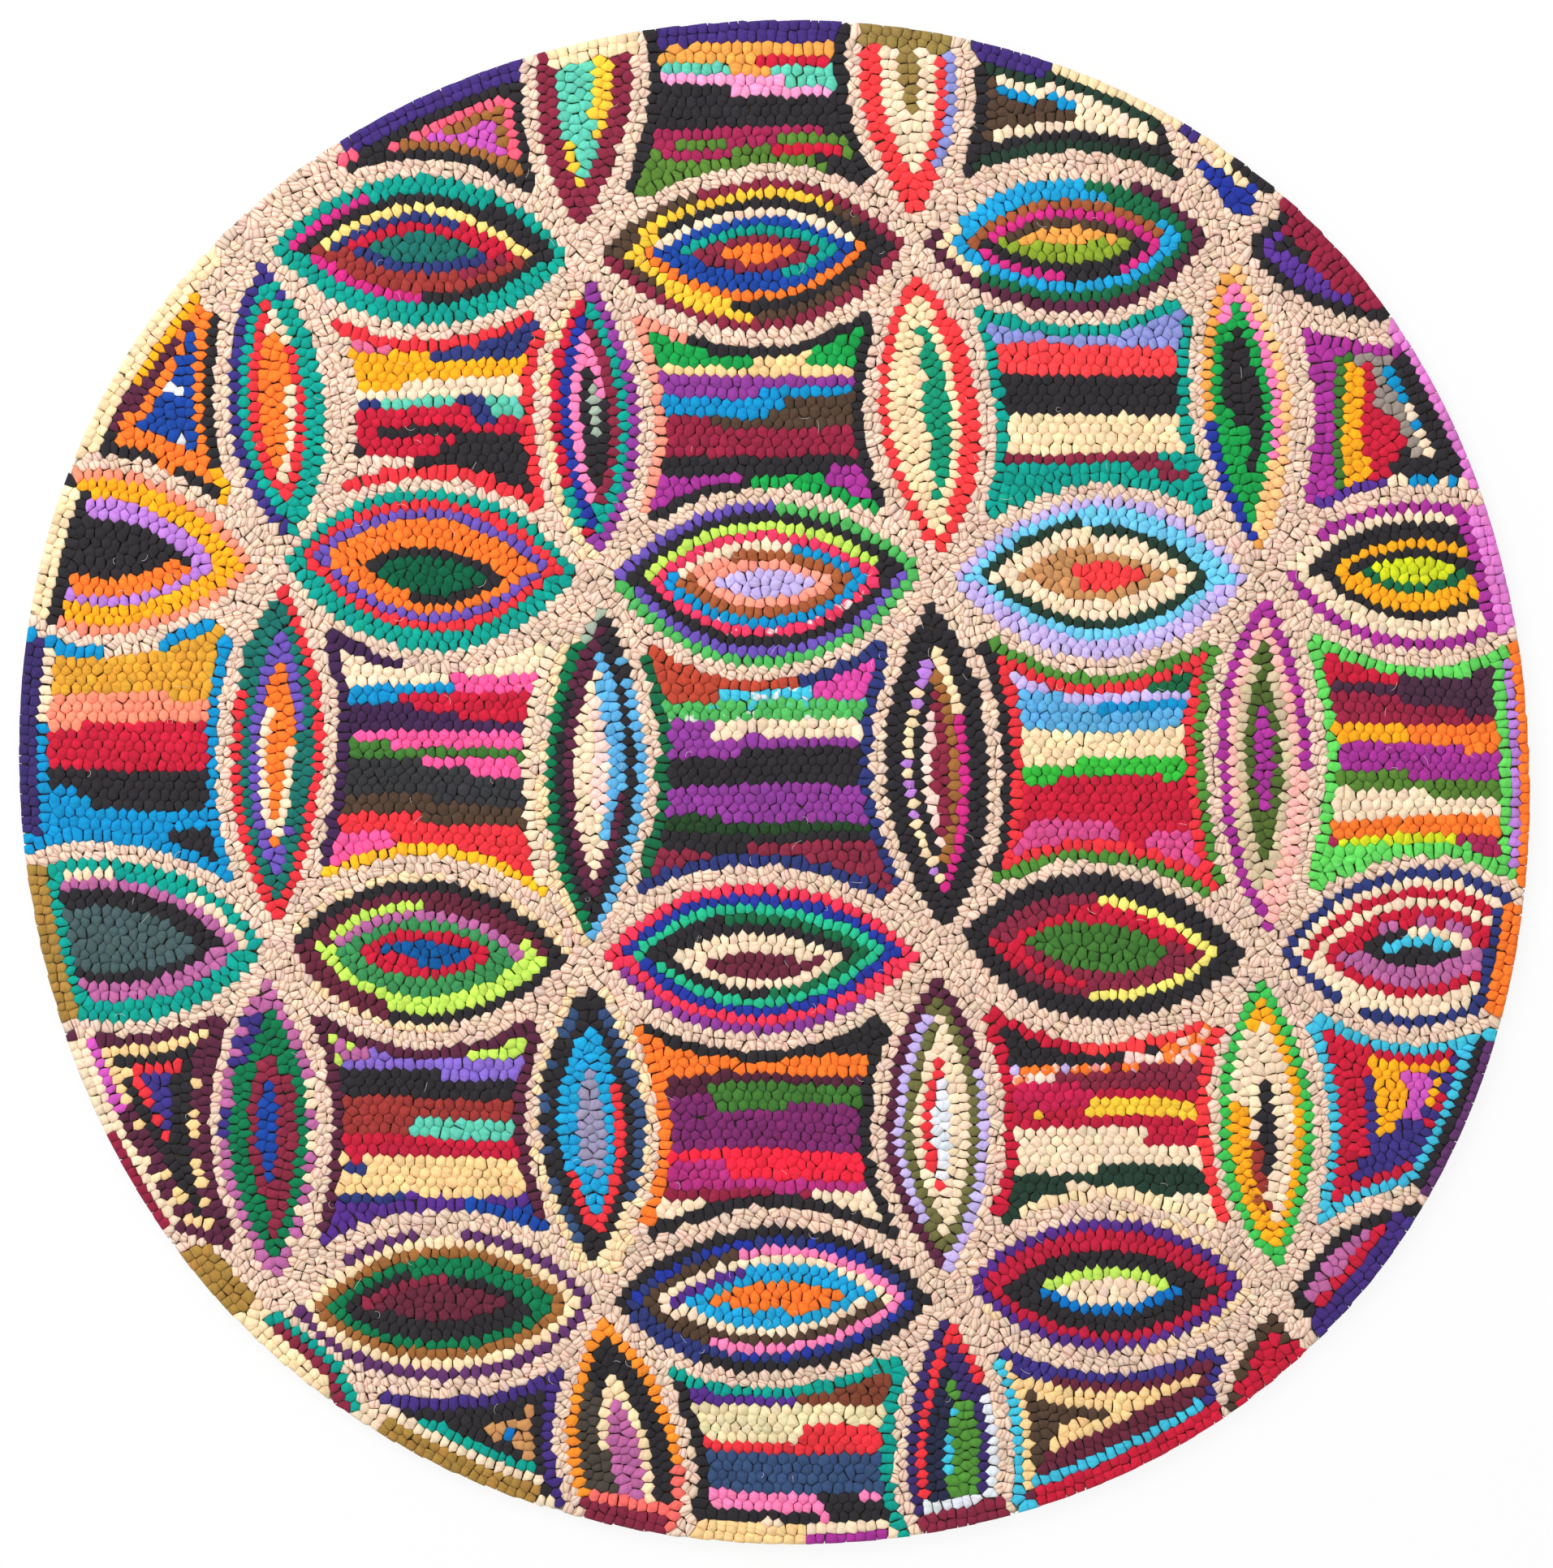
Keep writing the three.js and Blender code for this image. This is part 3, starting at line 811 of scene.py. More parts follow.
# The slow waves by which drawn lines stray, a long and a short one each for x and y: the
# millimetres along x and along y in which they turn by one radian, and where they start.
WAVES = ((41, 57, 1), (-71, 23, 0), (-49, 37, 2), (25, 67, 0))
SHORT_WAVE = 0.6  # size of a short wave as a share of a long one
WAVE_SHARE = 0.8  # size of a long wave as a share of the wander
JITTER_MOST = 2  # the most that a loop stands off its row, in jitters
EDGE_JITTER = 0.35  # least share of the jitter, at the rug's edge
ALONG_JITTER = 0.6  # jitter along a row as a share of that across it

# How loops that crowd each other are pushed apart, in millimetres.
EASE_ROUNDS = 5
EASE_NEAR = 7  # neighbours looked at
EASE_SPACING = 0.96  # spacing wanted, as a share of the two sizes together
EASE_SHORT = 2.0  # the most that one neighbour counts for
EASE_SHARE = 0.25  # share of what is missing that one round gives
EASE_MOST = 0.6  # longest push in one round
EASE_EDGE = 3.4  # what a pushed loop keeps from the rug's edge

# How a loop fills the room that its neighbours leave, in millimetres and shares of its reach.
BESIDE_EDGE = 9.0  # how near the rug's edge a loop needs a mirrored neighbour beyond it
ROOM_NEAR = 13  # neighbours looked at
ROOM_FINE = 5  # directions tried for each corner
FACING = 0.01  # least length of a neighbour's way along a direction that counts
OPEN = 99.0  # reach where no neighbour stands
REACH_LIMITS = (0.6, 1.42)  # shares of the loop's middling reach
TOOTH_STRAY = 0.5  # how far loops differ in tooth
TOOTH_MOST = 2
TOOTH_POINT = 6  # the higher, the narrower a tooth
TOOTH_WAIST = 0.3  # how far the rest of the loop draws in for a tooth
CORNER_STRAY, CORNER_MOST = 0.05, 0.1  # how far its corners differ in reach
LEAST_REACH = 0.8


def circle_points(centre, radius, pitch, phase, like=None):
    """Points on a circle with the direction of the row at each, as many as are a pitch apart on
    the circle of the radius given as like."""
    count = max(3, round(2 * math.pi * (like or radius) / pitch))
    angle = (np.arange(count) + phase) * 2 * math.pi / count
    xy = centre + radius * np.stack((np.cos(angle), np.sin(angle)), axis=1)
    return xy, angle + math.pi / 2


def edge_points(edge, depth, pitch, phase, inside_bands):
    """Points a pitch apart that follow the rug's edge at a depth, measured within the bands."""
    xy, turn = circle_points(np.zeros(2), edge.radii.mean(), pitch, phase)
    angle = np.degrees(turn) - 90
    offset = depth + (edge.width(xy) if inside_bands else 0)
    reach = edge.radius(angle) - offset
    return xy / np.hypot(*xy.T)[:, None] * reach[:, None], turn


def wall_phase(wall):
    """Where the first loop stands on a wall, as a share of the pitch."""
    return (wall.centre[0] * PHASE_X + wall.centre[1] * PHASE_Y) % 1


def ring_rows(patch, edge, pitch, rng):
    """The rows of one motif that follow its walls."""
    rows = []
    deepest = len(patch.rings) if patch.fill else MOST_RINGS
    for ring in range(deepest):
        depth = (ring + 0.5) * patch.row
        level = OUTLINE if ring == 0 else RING
        in_step = (ring // IN_STEP + 0.5) * IN_STEP * patch.row
        for wall in patch.walls:
            radius = wall.radius - wall.sign * depth
            if radius < pitch:
                continue
            like = max(wall.radius - wall.sign * in_step, pitch)
            phase = wall_phase(wall) + 0.5 * (ring % 2)
            xy, turn = circle_points(wall.centre, radius, pitch, phase, like)
            reading = patch.read(xy, edge)
            keep = reading.inside & (reading.depth > depth - CORNER_SLACK * patch.row)
            keep &= ~patch.in_column(reading)
            rows.append(Row(xy[keep], turn[keep], level, COTTON))
    along_edge = deepest if patch.edge == "wall" else len(patch.edge_rings)
    for ring in range(along_edge):
        depth = (ring + 0.5) * patch.row
        xy, turn = edge_points(edge, depth, pitch, rng.random(), True)
        reading = patch.read(xy, edge)
        keep = reading.inside
        if patch.edge == "wall":
            keep &= reading.depth > depth - CORNER_SLACK * patch.row
        else:
            keep &= patch.in_column(reading)
        rows.append(Row(xy[keep], turn[keep], OUTLINE if ring == 0 else RING, COTTON))
    return rows


def fill_rows(patch, edge, pitch, rng):
    """The straight rows inside a square's outline."""
    rows = []
    if not patch.fill:
        return rows
    left, right, bottom, top = patch.box
    low, high = (bottom, top) if patch.columns else (left, right)
    low, high = max(low, -ROW_REACH), min(high, ROW_REACH)
    for index in range(-SPARE_ROWS, len(patch.fill) + SPARE_ROWS):
        level = patch.first + index * patch.step
        along = np.arange(low, high, pitch) + (index % 2) * pitch / 2 + rng.normal(0, ROW_SLIP)
        across = level + BOW * np.sin(along / BOW_LENGTH + BOW_START * rng.random())
        xy = np.stack((across, along) if patch.columns else (along, across), axis=1)
        reading = patch.read(xy, edge)
        keep = reading.inside & patch.in_fill(reading)
        turn = np.full(keep.sum(), math.pi / 2 if patch.columns else 0.0)
        rows.append(Row(xy[keep], turn, FILL, COTTON))
    return rows


def ground_rows(patches, edge, row, pitch, cotton_pitch, rng):
    """The rows of natural loops that follow the outside of every eye and leaf."""
    rows = []
    for number in range(GROUND_ROWS):
        offset = (number + 0.5) * row
        for patch in patches:
            if patch.kind == "square":
                continue
            for wall in patch.walls:
                radius = wall.radius + offset
                if number == 0:
                    like = wall.radius - IN_STEP / 2 * patch.row
                    xy, turn = circle_points(
                        wall.centre, radius, cotton_pitch, wall_phase(wall) + 0.5, like)
                else:
                    xy, turn = circle_points(wall.centre, radius, pitch, rng.random())
                clear = outside_all(xy, patches, edge)
                keep = clear & (edge.gap(xy) > EDGE_ROOM * row)
                rows.append(Row(xy[keep], turn[keep], FIELD + number, GROUND))
    return rows


def outside_all(xy, patches, edge):
    """Points that lie in no motif and in no band."""
    clear = edge.gap(xy) > edge.width(xy)
    for patch in patches:
        clear &= ~patch.read(xy, edge).inside
    return clear


class Spread:
    """Keeps loops apart: a point is taken only where no other stands too near."""

    def __init__(self, cell):
        self.cell = cell
        self.cells = {}

    def key(self, x, y):
        """The cell of the grid that a point falls in."""
        return int(x // self.cell), int(y // self.cell)

    def nearest_share(self, x, y, size):
        """Distance to the nearest loop as a share of the two loops' sizes together."""
        column, line = self.key(x, y)
        best = math.inf
        for i in (column - 1, column, column + 1):
            for j in (line - 1, line, line + 1):
                for px, py, psize in self.cells.get((i, j), ()):
                    share = math.hypot(x - px, y - py) / (size + psize)
                    if share < best:
                        best = share
        return best

    def add(self, x, y, size):
        """Takes a point, so that others keep away from it."""
        self.cells.setdefault(self.key(x, y), []).append((x, y, size))


class Layout:
    """Every loop of the rug: its place, the row it stands in, its yarn and its piece."""

    def __init__(self, sizes, yarns):
        rng = np.random.default_rng(SEED)
        self.tooth = sizes.tooth / 100
        row = sizes.row / MM
        pitch = sizes.pitch / MM
        ground_row = sizes.ground_row / MM
        ground_pitch = sizes.ground_pitch / MM
        self.edge = Edge(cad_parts[RUG_NODE], row)
        self.size_of = ((row + pitch) / 4, (ground_row + ground_pitch) / 4)
        lenses = {eye.name: lens_patch(eye, "eye", row) for eye in EYES}
        lenses.update({leaf.name: lens_patch(leaf, "leaf", row) for leaf in LEAVES})
        self.patches = list(lenses.values())
        self.patches += [square_patch(square, lenses, row) for square in SQUARES]
        rows = self.band_rows(row, pitch, rng)
        for patch in self.patches:
            rows += ring_rows(patch, self.edge, pitch, rng)
            rows += fill_rows(patch, self.edge, pitch, rng)
        rows += ground_rows(self.patches, self.edge, ground_row, ground_pitch, pitch, rng)
        self.pick(sorted(rows, key=lambda item: item.level), rng)
        self.classify(rng)
        self.colour(yarns, rng)
        self.settle(sizes.wander / MM, sizes.jitter / MM, rng)
        self.ease()

    def band_rows(self, row, pitch, rng):
        """The rows of the bands along the rug's edge."""
        rows = []
        for number in range(max(band.rows for band in EDGE_BANDS)):
            xy, turn = edge_points(self.edge, (number + 0.5) * row, pitch, rng.random(), False)
            keep = self.edge.width(xy) > number * row
            rows.append(Row(xy[keep], turn[keep], RIM, COTTON))
        return rows

    def pick(self, rows, rng):
        """Takes the loops row by row, then fills the gaps that are left."""
        spread = Spread(CELL)
        kept = []
        for item in rows:
            size = self.size_of[item.style]
            for (x, y), turn in zip(item.xy.tolist(), item.turn.tolist()):
                if spread.nearest_share(x, y, size) < ROW_SPACING:
                    continue
                spread.add(x, y, size)
                kept.append((x, y, turn, TEETH[min(item.level, FIELD)]))
        reach = self.edge.radii.max()
        line = np.arange(-reach, reach, GAP_STEP)
        grid = np.stack(np.meshgrid(line, line), axis=-1).reshape(-1, 2)
        grid = grid[self.edge.gap(grid) > GAP_EDGE]
        field = outside_all(grid, self.patches, self.edge)
        for index in rng.permutation(len(grid)):
            x, y = grid[index].tolist()
            style = GROUND if field[index] else COTTON
            size = self.size_of[style]
            if spread.nearest_share(x, y, size) < GAP_SPACING:
                continue
            spread.add(x, y, size)
            kept.append((x, y, rng.random() * math.pi, TEETH[FIELD]))
        kept = np.array(kept)
        self.xy = kept[:, :2]
        self.turn = kept[:, 2]
        self.toothed = kept[:, 3]

    def classify(self, rng):
        """Names the piece of each loop and its yarn."""
        xy = self.xy
        count = len(xy)
        self.piece = np.full(count, "ground", dtype="U16")
        self.yarn = np.full(count, "natural", dtype="U48")
        gap = self.edge.gap(xy)
        band = self.edge.band_index(xy)
        in_band = gap < self.edge.width(xy)
        for index, item in enumerate(EDGE_BANDS):
            here = in_band & (band == index)
            self.piece[here] = "rim"
            self.yarn[here] = item.outer
            if item.inner:
                self.yarn[here & (gap > self.edge.row)] = item.inner
        for patch in self.patches:
            reading = patch.read(xy, self.edge)
            inside = reading.inside & ~in_band
            self.piece[inside] = patch.name
            self.yarn[inside] = patch.paint(xy[inside], self.edge, rng)
            self.halo(patch, reading, inside, rng)
        for index in np.flatnonzero(np.char.find(self.yarn, "/") >= 0):
            self.yarn[index] = rng.choice(self.yarn[index].split("/"))
        self.style = np.where((self.piece == "ground") | (self.yarn == "natural"), GROUND, COTTON)
        self.piece[(self.yarn == "natural")] = "ground"

    def halo(self, patch, reading, inside, rng):
        """Mixes a second yarn into the ground beside an outline."""
        beside = (reading.depth > -HALO_REACH) & ~inside & (self.piece == "ground")
        if not patch.halo or not beside.any():
            return
        xy = self.xy[beside]
        across, down = patch.percents(xy)
        masks = patch.side_masks(xy, reading.nearest[beside])
        yarn = self.yarn[beside]
        for mark in patch.halo:
            percent = across if mark.side in ACROSS else down
            match = masks[mark.side] & (percent >= mark.start) & (percent < mark.stop)
            yarn[match & (rng.random(len(xy)) < HALO_SHARE)] = mark.yarn
        self.yarn[beside] = yarn

    def colour(self, yarns, rng):
        """Each loop's own shade of its yarn, and of the yarn that flecks it."""
        count = len(self.xy)
        table = {name: np.array(getattr(yarns, name)[:]) for name in YARNS}
        plain = np.array([table[name.split("+")[0]] for name in self.yarn])
        fleck = np.array([table[name.split("+")[-1]] for name in self.yarn])
        drift = DRIFT * np.sin(self.xy[:, 0] / DRIFT_X + self.xy[:, 1] / DRIFT_Y)
        shade = 1 + drift + np.clip(rng.normal(0, SHADE, count), -SHADE_MOST, SHADE_MOST)
        tint = 1 + np.clip(rng.normal(0, TINT, (count, 3)), -TINT_MOST, TINT_MOST)
        self.plain = linear(np.clip(plain * shade[:, None] * tint, 0, 1))
        self.fleck = linear(np.clip(fleck * shade[:, None], 0, 1))

    def settle(self, wander, jitter, rng):
        """Gives each loop its size and moves it off the drawn line, as a hand does."""
        spread = rng.normal(0, SIZE_STRAY, len(self.xy)).clip(*SIZE_LIMITS)
        self.size = np.array(self.size_of)[self.style] * (1 + spread)
        x, y = self.xy.T
        fade = np.clip((self.edge.gap(self.xy) - STEADY) / STEADY_FADE, 0, 1)[:, None]
        long_x, short_x, long_y, short_y = (
            np.sin(x / along + y / up + start) for along, up, start in WAVES)
        shift = np.stack((long_x + SHORT_WAVE * short_x, long_y + SHORT_WAVE * short_y), axis=1)
        self.xy = self.xy + shift * fade * wander * WAVE_SHARE
        along = np.stack((np.cos(self.turn), np.sin(self.turn)), axis=1)
        across = np.stack((-np.sin(self.turn), np.cos(self.turn)), axis=1)
        most = JITTER_MOST * jitter
        stray = rng.normal(0, jitter, (2, len(self.xy), 1)).clip(-most, most)
        self.xy = (self.xy + across * stray[0] * fade.clip(EDGE_JITTER)
                   + along * stray[1] * ALONG_JITTER)

    def ease(self):
        """Evens the gaps between the loops, a little in each round."""
        for _ in range(EASE_ROUNDS):
            near, offset = neighbours(self.xy, self.xy, EASE_NEAR)
            length = np.linalg.norm(offset, axis=2)
            want = (self.size[:, None] + self.size[near]) * EASE_SPACING
            short = np.clip(want - length, 0, EASE_SHORT)
            push = -(offset / length[..., None] * short[..., None]).sum(axis=1) * EASE_SHARE
            pushed = np.linalg.norm(push, axis=1)[:, None]
            push *= np.minimum(1, EASE_MOST / np.maximum(pushed, 1e-6))
            moved = self.xy + push
            free = self.edge.gap(moved) > EASE_EDGE
            self.xy[free] = moved[free]

    def room(self, chosen, count):
        """The room of each chosen loop among its neighbours, as its corners' reach and direction."""
        beside_edge = self.edge.gap(self.xy) < BESIDE_EDGE
        ghosts = self.xy[beside_edge]
        reach = np.hypot(*ghosts.T)[:, None]
        ghosts = ghosts * (1 + 2 * self.edge.gap(ghosts)[:, None] / reach)
        everyone = np.vstack((self.xy, ghosts))
        sizes = np.concatenate((self.size, self.size[beside_edge]))
        near, offset = neighbours(self.xy[chosen], everyone, ROOM_NEAR)
        square = (offset ** 2).sum(axis=2) + self.size[chosen][:, None] ** 2 - sizes[near] ** 2
        tries = np.arange(count * ROOM_FINE) - ROOM_FINE // 2
        step = 2 * math.pi / count
        angle = self.turn[chosen][:, None] + tries * step / ROOM_FINE
        ways = np.stack((np.cos(angle), np.sin(angle)), axis=2)
        facing = np.einsum("nkd,nsd->nks", offset, ways)
        limit = np.where(facing > FACING, square[..., None] / (2 * np.maximum(facing, FACING)), OPEN)
        radius = limit.min(axis=1).reshape(len(chosen), count, ROOM_FINE)
        best = radius.argmax(axis=2)[..., None]
        radius = np.take_along_axis(radius, best, axis=2)[..., 0]
        angle = np.take_along_axis(angle.reshape(radius.shape + (ROOM_FINE,)), best, axis=2)[..., 0]
        return radius, angle

    def spokes(self, chosen, count, crease, rng):
        """The corners of each chosen loop as reach and direction, toothed and a little uneven."""
        radius, angle = self.room(chosen, count)
        middle = np.median(radius, axis=1)[:, None]
        least, most = REACH_LIMITS
        radius = np.clip(radius, least * middle, most * middle)
        strength = rng.normal(1, TOOTH_STRAY, len(chosen)).clip(0, TOOTH_MOST)
        tooth = self.tooth * (self.toothed[chosen] * strength)[:, None]
        across = np.sin(angle - self.turn[chosen][:, None]) ** TOOTH_POINT
        radius = radius * (1 - TOOTH_WAIST * tooth + tooth * across)
        stray = rng.normal(0, CORNER_STRAY, radius.shape).clip(-CORNER_MOST, CORNER_MOST)
        return np.maximum(radius * (1 + stray) - crease / 2, LEAST_REACH), angle


def neighbours(points, everyone, count):
    """Indices of the nearest others to each point, and the way to each of them."""
    tree = kdtree.KDTree(len(everyone))
    for index, (x, y) in enumerate(everyone.tolist()):
        tree.insert((x, y, 0), index)
    tree.balance()
    near = np.array([[hit[1] for hit in tree.find_n((x, y, 0), count + 1)][1:]
                     for x, y in points.tolist()])
    return near, everyone[near] - points[:, None, :]


def linear(colour):
    """Screen colour as the linear colour that materials use."""
    return np.where(colour <= 0.04045, colour / 12.92, ((colour + 0.055) / 1.055) ** 2.4)


LAYOUTS = {}


def rug_layout(context):
    """The one layout that all the loop operators share."""
    if "rug" not in LAYOUTS:
        LAYOUTS["rug"] = Layout(context.scene.rug_sizes, context.scene.rug_yarns)
    return LAYOUTS["rug"]


# ---------------------------------------------------------------- one loop, and many

LoopShape = namedtuple("LoopShape", "sides foot shoulder crown top foot_width crown_inset")
COTTON_LOOP = LoopShape(sides=8, foot=2.6, shoulder=10.9, crown=12.2, top=12.6,
                        foot_width=0.84, crown_inset=0.2)
GROUND_LOOP = LoopShape(sides=7, foot=2.6, shoulder=10.6, crown=12.0, top=12.6,
                        foot_width=0.80, crown_inset=0.24)
LEAN, LEAN_MOST = 0.32, 0.8  # millimetres by which the top of a loop leans
RISE = 0.034  # how far loops differ in height
RISE_LIMITS = (-0.07, 0.06)
EDGE_REACH = 1.7  # millimetres inside the rug's edge in which a corner, like one past it, goes to it
EDGE_INSET = 0.15  # millimetres that such a corner keeps from the edge
STRIPS = 40  # places on the strip that a loop may show
STRIP_STEP = 3  # widths of a loop between them
BAKE_RINGS = (1.0, 0.86, 0.6)  # widths of foot, shoulder and crown when the skin is spread flat
BAKE_MARGIN = 0.01  # share of the bake map left free at its sides
MIDDLE = 0.05  # share of a loop's reach within which a corner is its middle
SAME = 0.1  # millimetres of height within which corners are in one ring


def loop_template(shape):
    """One closed loop of unit radius: its corners as side, width and height, and its faces."""
    bm = bmesh.new()
    bmesh.ops.create_cone(
        bm, cap_ends=True, cap_tris=False, segments=shape.sides,
        radius1=shape.foot_width, radius2=1.0, depth=shape.shoulder - shape.foot)
    bmesh.ops.translate(bm, verts=bm.verts, vec=(0, 0, (shape.foot + shape.shoulder) / 2))
    lid = max(bm.faces, key=lambda face: face.calc_center_median().z)
    bmesh.ops.inset_individual(
        bm, faces=[lid], thickness=shape.crown_inset, depth=shape.crown - shape.shoulder,
        use_even_offset=True)
    lid = max(bm.faces, key=lambda face: face.calc_center_median().z)
    bmesh.ops.poke(bm, faces=[lid], offset=shape.top - shape.crown)
    bmesh.ops.recalc_face_normals(bm, faces=bm.faces)
    bm.verts.index_update()
    corners = np.array([vertex.co[:] for vertex in bm.verts])
    width = np.hypot(corners[:, 0], corners[:, 1])
    angle = np.arctan2(corners[:, 1], corners[:, 0])
    first = angle[width > MIDDLE].min()
    side = np.round((angle - first) / (2 * math.pi / shape.sides)).astype(int) % shape.sides
    faces = [[vertex.index for vertex in face.verts] for face in bm.faces]
    bm.free()
    return side, width, corners[:, 2], faces


def loop_points(edge, centre, local, height, shape, rng):
    """The corners of every loop, leaning and rising a little, and drawn to the edge beside it."""
    lift = (height - shape.foot) / (shape.top - shape.foot)
    lean = rng.normal(0, LEAN, (len(centre), 2)).clip(-LEAN_MOST, LEAN_MOST)
    rise = 1 + rng.normal(0, RISE, len(centre)).clip(*RISE_LIMITS)
    points = np.empty((*local.shape[:2], 3))
    flat = centre[:, None] + local + lean[:, None] * (lift ** 2)[:, None]
    flat = flat.reshape(-1, 2)
    gap = edge.gap(flat)
    shift = np.where(gap < EDGE_REACH, gap - EDGE_INSET, 0)[:, None]
    flat = flat * (1 + shift / np.hypot(*flat.T)[:, None])
    points[..., :2] = flat.reshape(local.shape)
    points[..., 2] = shape.foot + (height - shape.foot) * rise[:, None]
    return points


def loops_mesh(name, points, faces):
    """One mesh of many loops with the same faces, and the corner that each face corner stands on."""
    count, per_loop = points.shape[:2]
    face_corners = np.concatenate([np.array(face) for face in faces])
    lengths = np.array([len(face) for face in faces])
    starts = np.concatenate(([0], np.cumsum(lengths)[:-1]))
    loop_at = np.arange(count)[:, None]
    corner_at = (loop_at * per_loop + face_corners).ravel()
    face_at = (loop_at * len(face_corners) + starts).ravel()
    mesh = bpy.data.meshes.new(name)
    mesh.vertices.add(count * per_loop)
    mesh.vertices.foreach_set("co", (points * MM).astype(np.float32).ravel())
    mesh.loops.add(len(corner_at))
    mesh.loops.foreach_set("vertex_index", corner_at.astype(np.int32))
    mesh.polygons.add(len(face_at))
    mesh.polygons.foreach_set("loop_start", face_at.astype(np.int32))
    mesh.update(calc_edges=True)
    mesh.shade_smooth()
    return mesh, corner_at


def ply_places(local, radius, angle, rng):
    """Place on the loop's own strip: along the row and across it, a loop being about one wide."""
    turn = angle[:, :1]
    size = 2 * radius.mean(axis=1)[:, None]
    along = local[..., 0] * np.cos(turn) + local[..., 1] * np.sin(turn)
    across = local[..., 1] * np.cos(turn) - local[..., 0] * np.sin(turn)
    own = np.floor(rng.random((len(local), 1)) * STRIPS) * STRIP_STEP
    return np.stack((along / size + own, across / size), axis=2)


def bake_places(centre, ways, reach, width, height, shape):
    """Place of each corner when the skin of every loop is spread flat, foot outermost."""
    foot, shoulder, crown = BAKE_RINGS
    ring = np.where(height < shape.shoulder + SAME, shoulder, crown)
    ring = np.where(height < shape.foot + SAME, foot, ring)
    spread = np.where(width < MIDDLE, 0.0, ring)
    flat = centre[:, None] + ways * (reach * spread)[..., None]
    low = flat.min(axis=(0, 1))
    span = (flat.max(axis=(0, 1)) - low).max()
    return BAKE_MARGIN + (1 - 2 * BAKE_MARGIN) * (flat - low) / span


def foot_corners(faces, shape, count):
    """Which face corners belong to the closed foot of each loop."""
    foot = np.concatenate([np.full(len(face), len(face) == shape.sides) for face in faces])
    return np.tile(foot, count)


def loops_piece(context, name, chosen, shape, material):
    """Many loops as one piece, each fitted to the room between its neighbours."""
    layout = rug_layout(context)
    rng = np.random.default_rng(SEED + sum(map(ord, name)))
    side, width, height, faces = loop_template(shape)
    crease = context.scene.rug_sizes.crease / MM
    radius, angle = layout.spokes(chosen, shape.sides, crease, rng)
    centre = layout.xy[chosen]
    turned = angle[:, side]
    reach = radius[:, side]
    ways = np.stack((np.cos(turned), np.sin(turned)), axis=2)
    local = ways * (reach * width)[..., None]
    points = loop_points(layout.edge, centre, local, height, shape, rng)
    mesh, corner_at = loops_mesh(name, points, faces)
    add_map(mesh, "ply", ply_places(local, radius, angle, rng), corner_at)
    baked = bake_places(centre, ways, reach, width, height, shape)
    add_map(mesh, "OFBake", baked, corner_at, foot_corners(faces, shape, len(centre)),
            baked.mean(axis=1))
    paint_points(mesh, "yarn", layout.plain[chosen], len(side))
    paint_points(mesh, "fleck", layout.fleck[chosen], len(side))
    new_piece(context, mesh, material)


def add_map(mesh, name, places, corner_at, collapsed=None, middles=None):
    """A UV map from each corner's place, with some corners drawn together in a point."""
    per_loop = places.shape[1]
    flat = places.reshape(-1, 2)[corner_at]
    if collapsed is not None:
        flat[collapsed] = middles[corner_at[collapsed] // per_loop]
    layer = mesh.uv_layers.new(name=name)
    layer.data.foreach_set("uv", flat.astype(np.float32).ravel())


def paint_points(mesh, name, colours, per_loop):
    """One colour for each loop, on all of its points."""
    opaque = np.concatenate((colours, np.ones((len(colours), 1))), axis=1)
    layer = mesh.color_attributes.new(name, "FLOAT_COLOR", "POINT")
    layer.data.foreach_set("color", np.repeat(opaque, per_loop, axis=0).astype(np.float32).ravel())


def mesh_from(bm, name):
    """The mesh that a finished bmesh holds."""
    mesh = bpy.data.meshes.new(name)
    bm.to_mesh(mesh)
    bm.free()
    return mesh


def new_object(context, mesh, material):
    """An object in the scene, with its mesh's name and in one material."""
    mesh.materials.append(material)
    item = bpy.data.objects.new(mesh.name, mesh)
    context.scene.collection.objects.link(item)
    return item


def new_piece(context, mesh, material):
    """A finished piece, tied to the frame."""
    piece = new_object(context, mesh, material)
    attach(piece, "root")
    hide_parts(RUG_NODE)
    return piece


# ---------------------------------------------------------------- materials


def new_group(name, inputs, outputs):
    """A shader node group with its named sockets and its two end nodes."""
    group = bpy.data.node_groups.new(name, "ShaderNodeTree")
    for label, kind, default in inputs:
        socket = group.interface.new_socket(label, in_out="INPUT", socket_type=kind)
        if default is not None:
            socket.default_value = default
    for label, kind in outputs:
        group.interface.new_socket(label, in_out="OUTPUT", socket_type=kind)
    return group, group.nodes.new("NodeGroupInput"), group.nodes.new("NodeGroupOutput")


def add_node(tree, kind, inputs=None, **settings):
    """A node with its settings, and with a plain value or a link for each of its inputs."""
    node = tree.nodes.new(kind)
    for label, value in settings.items():
        setattr(node, label, value)
    for label, source in (inputs or {}).items():
        if isinstance(source, bpy.types.NodeSocket):
            tree.links.new(source, node.inputs[label])
        else:
            node.inputs[label].default_value = source
    return node


def place_group(tree, name, make, inputs):
    """A shared effect placed in a material with that material's own values."""
    group = bpy.data.node_groups.get(name) or make()
    return add_node(tree, "ShaderNodeGroup", inputs, node_tree=group)


def noise(tree, place, scale, roughness):
    """Soft noise with a little detail."""
    return add_node(tree, "ShaderNodeTexNoise", {
        "Vector": place, "Scale": scale, "Detail": 2.0, "Roughness": roughness}).outputs["Fac"]


def stretched(tree, source, low, high, first, last, ease="LINEAR"):
    """A value that goes from first to last while its source goes from low to high."""
    return add_node(tree, "ShaderNodeMapRange", {
        "Value": source, "From Min": low, "From Max": high, "To Min": first, "To Max": last},
        interpolation_type=ease).outputs["Result"]


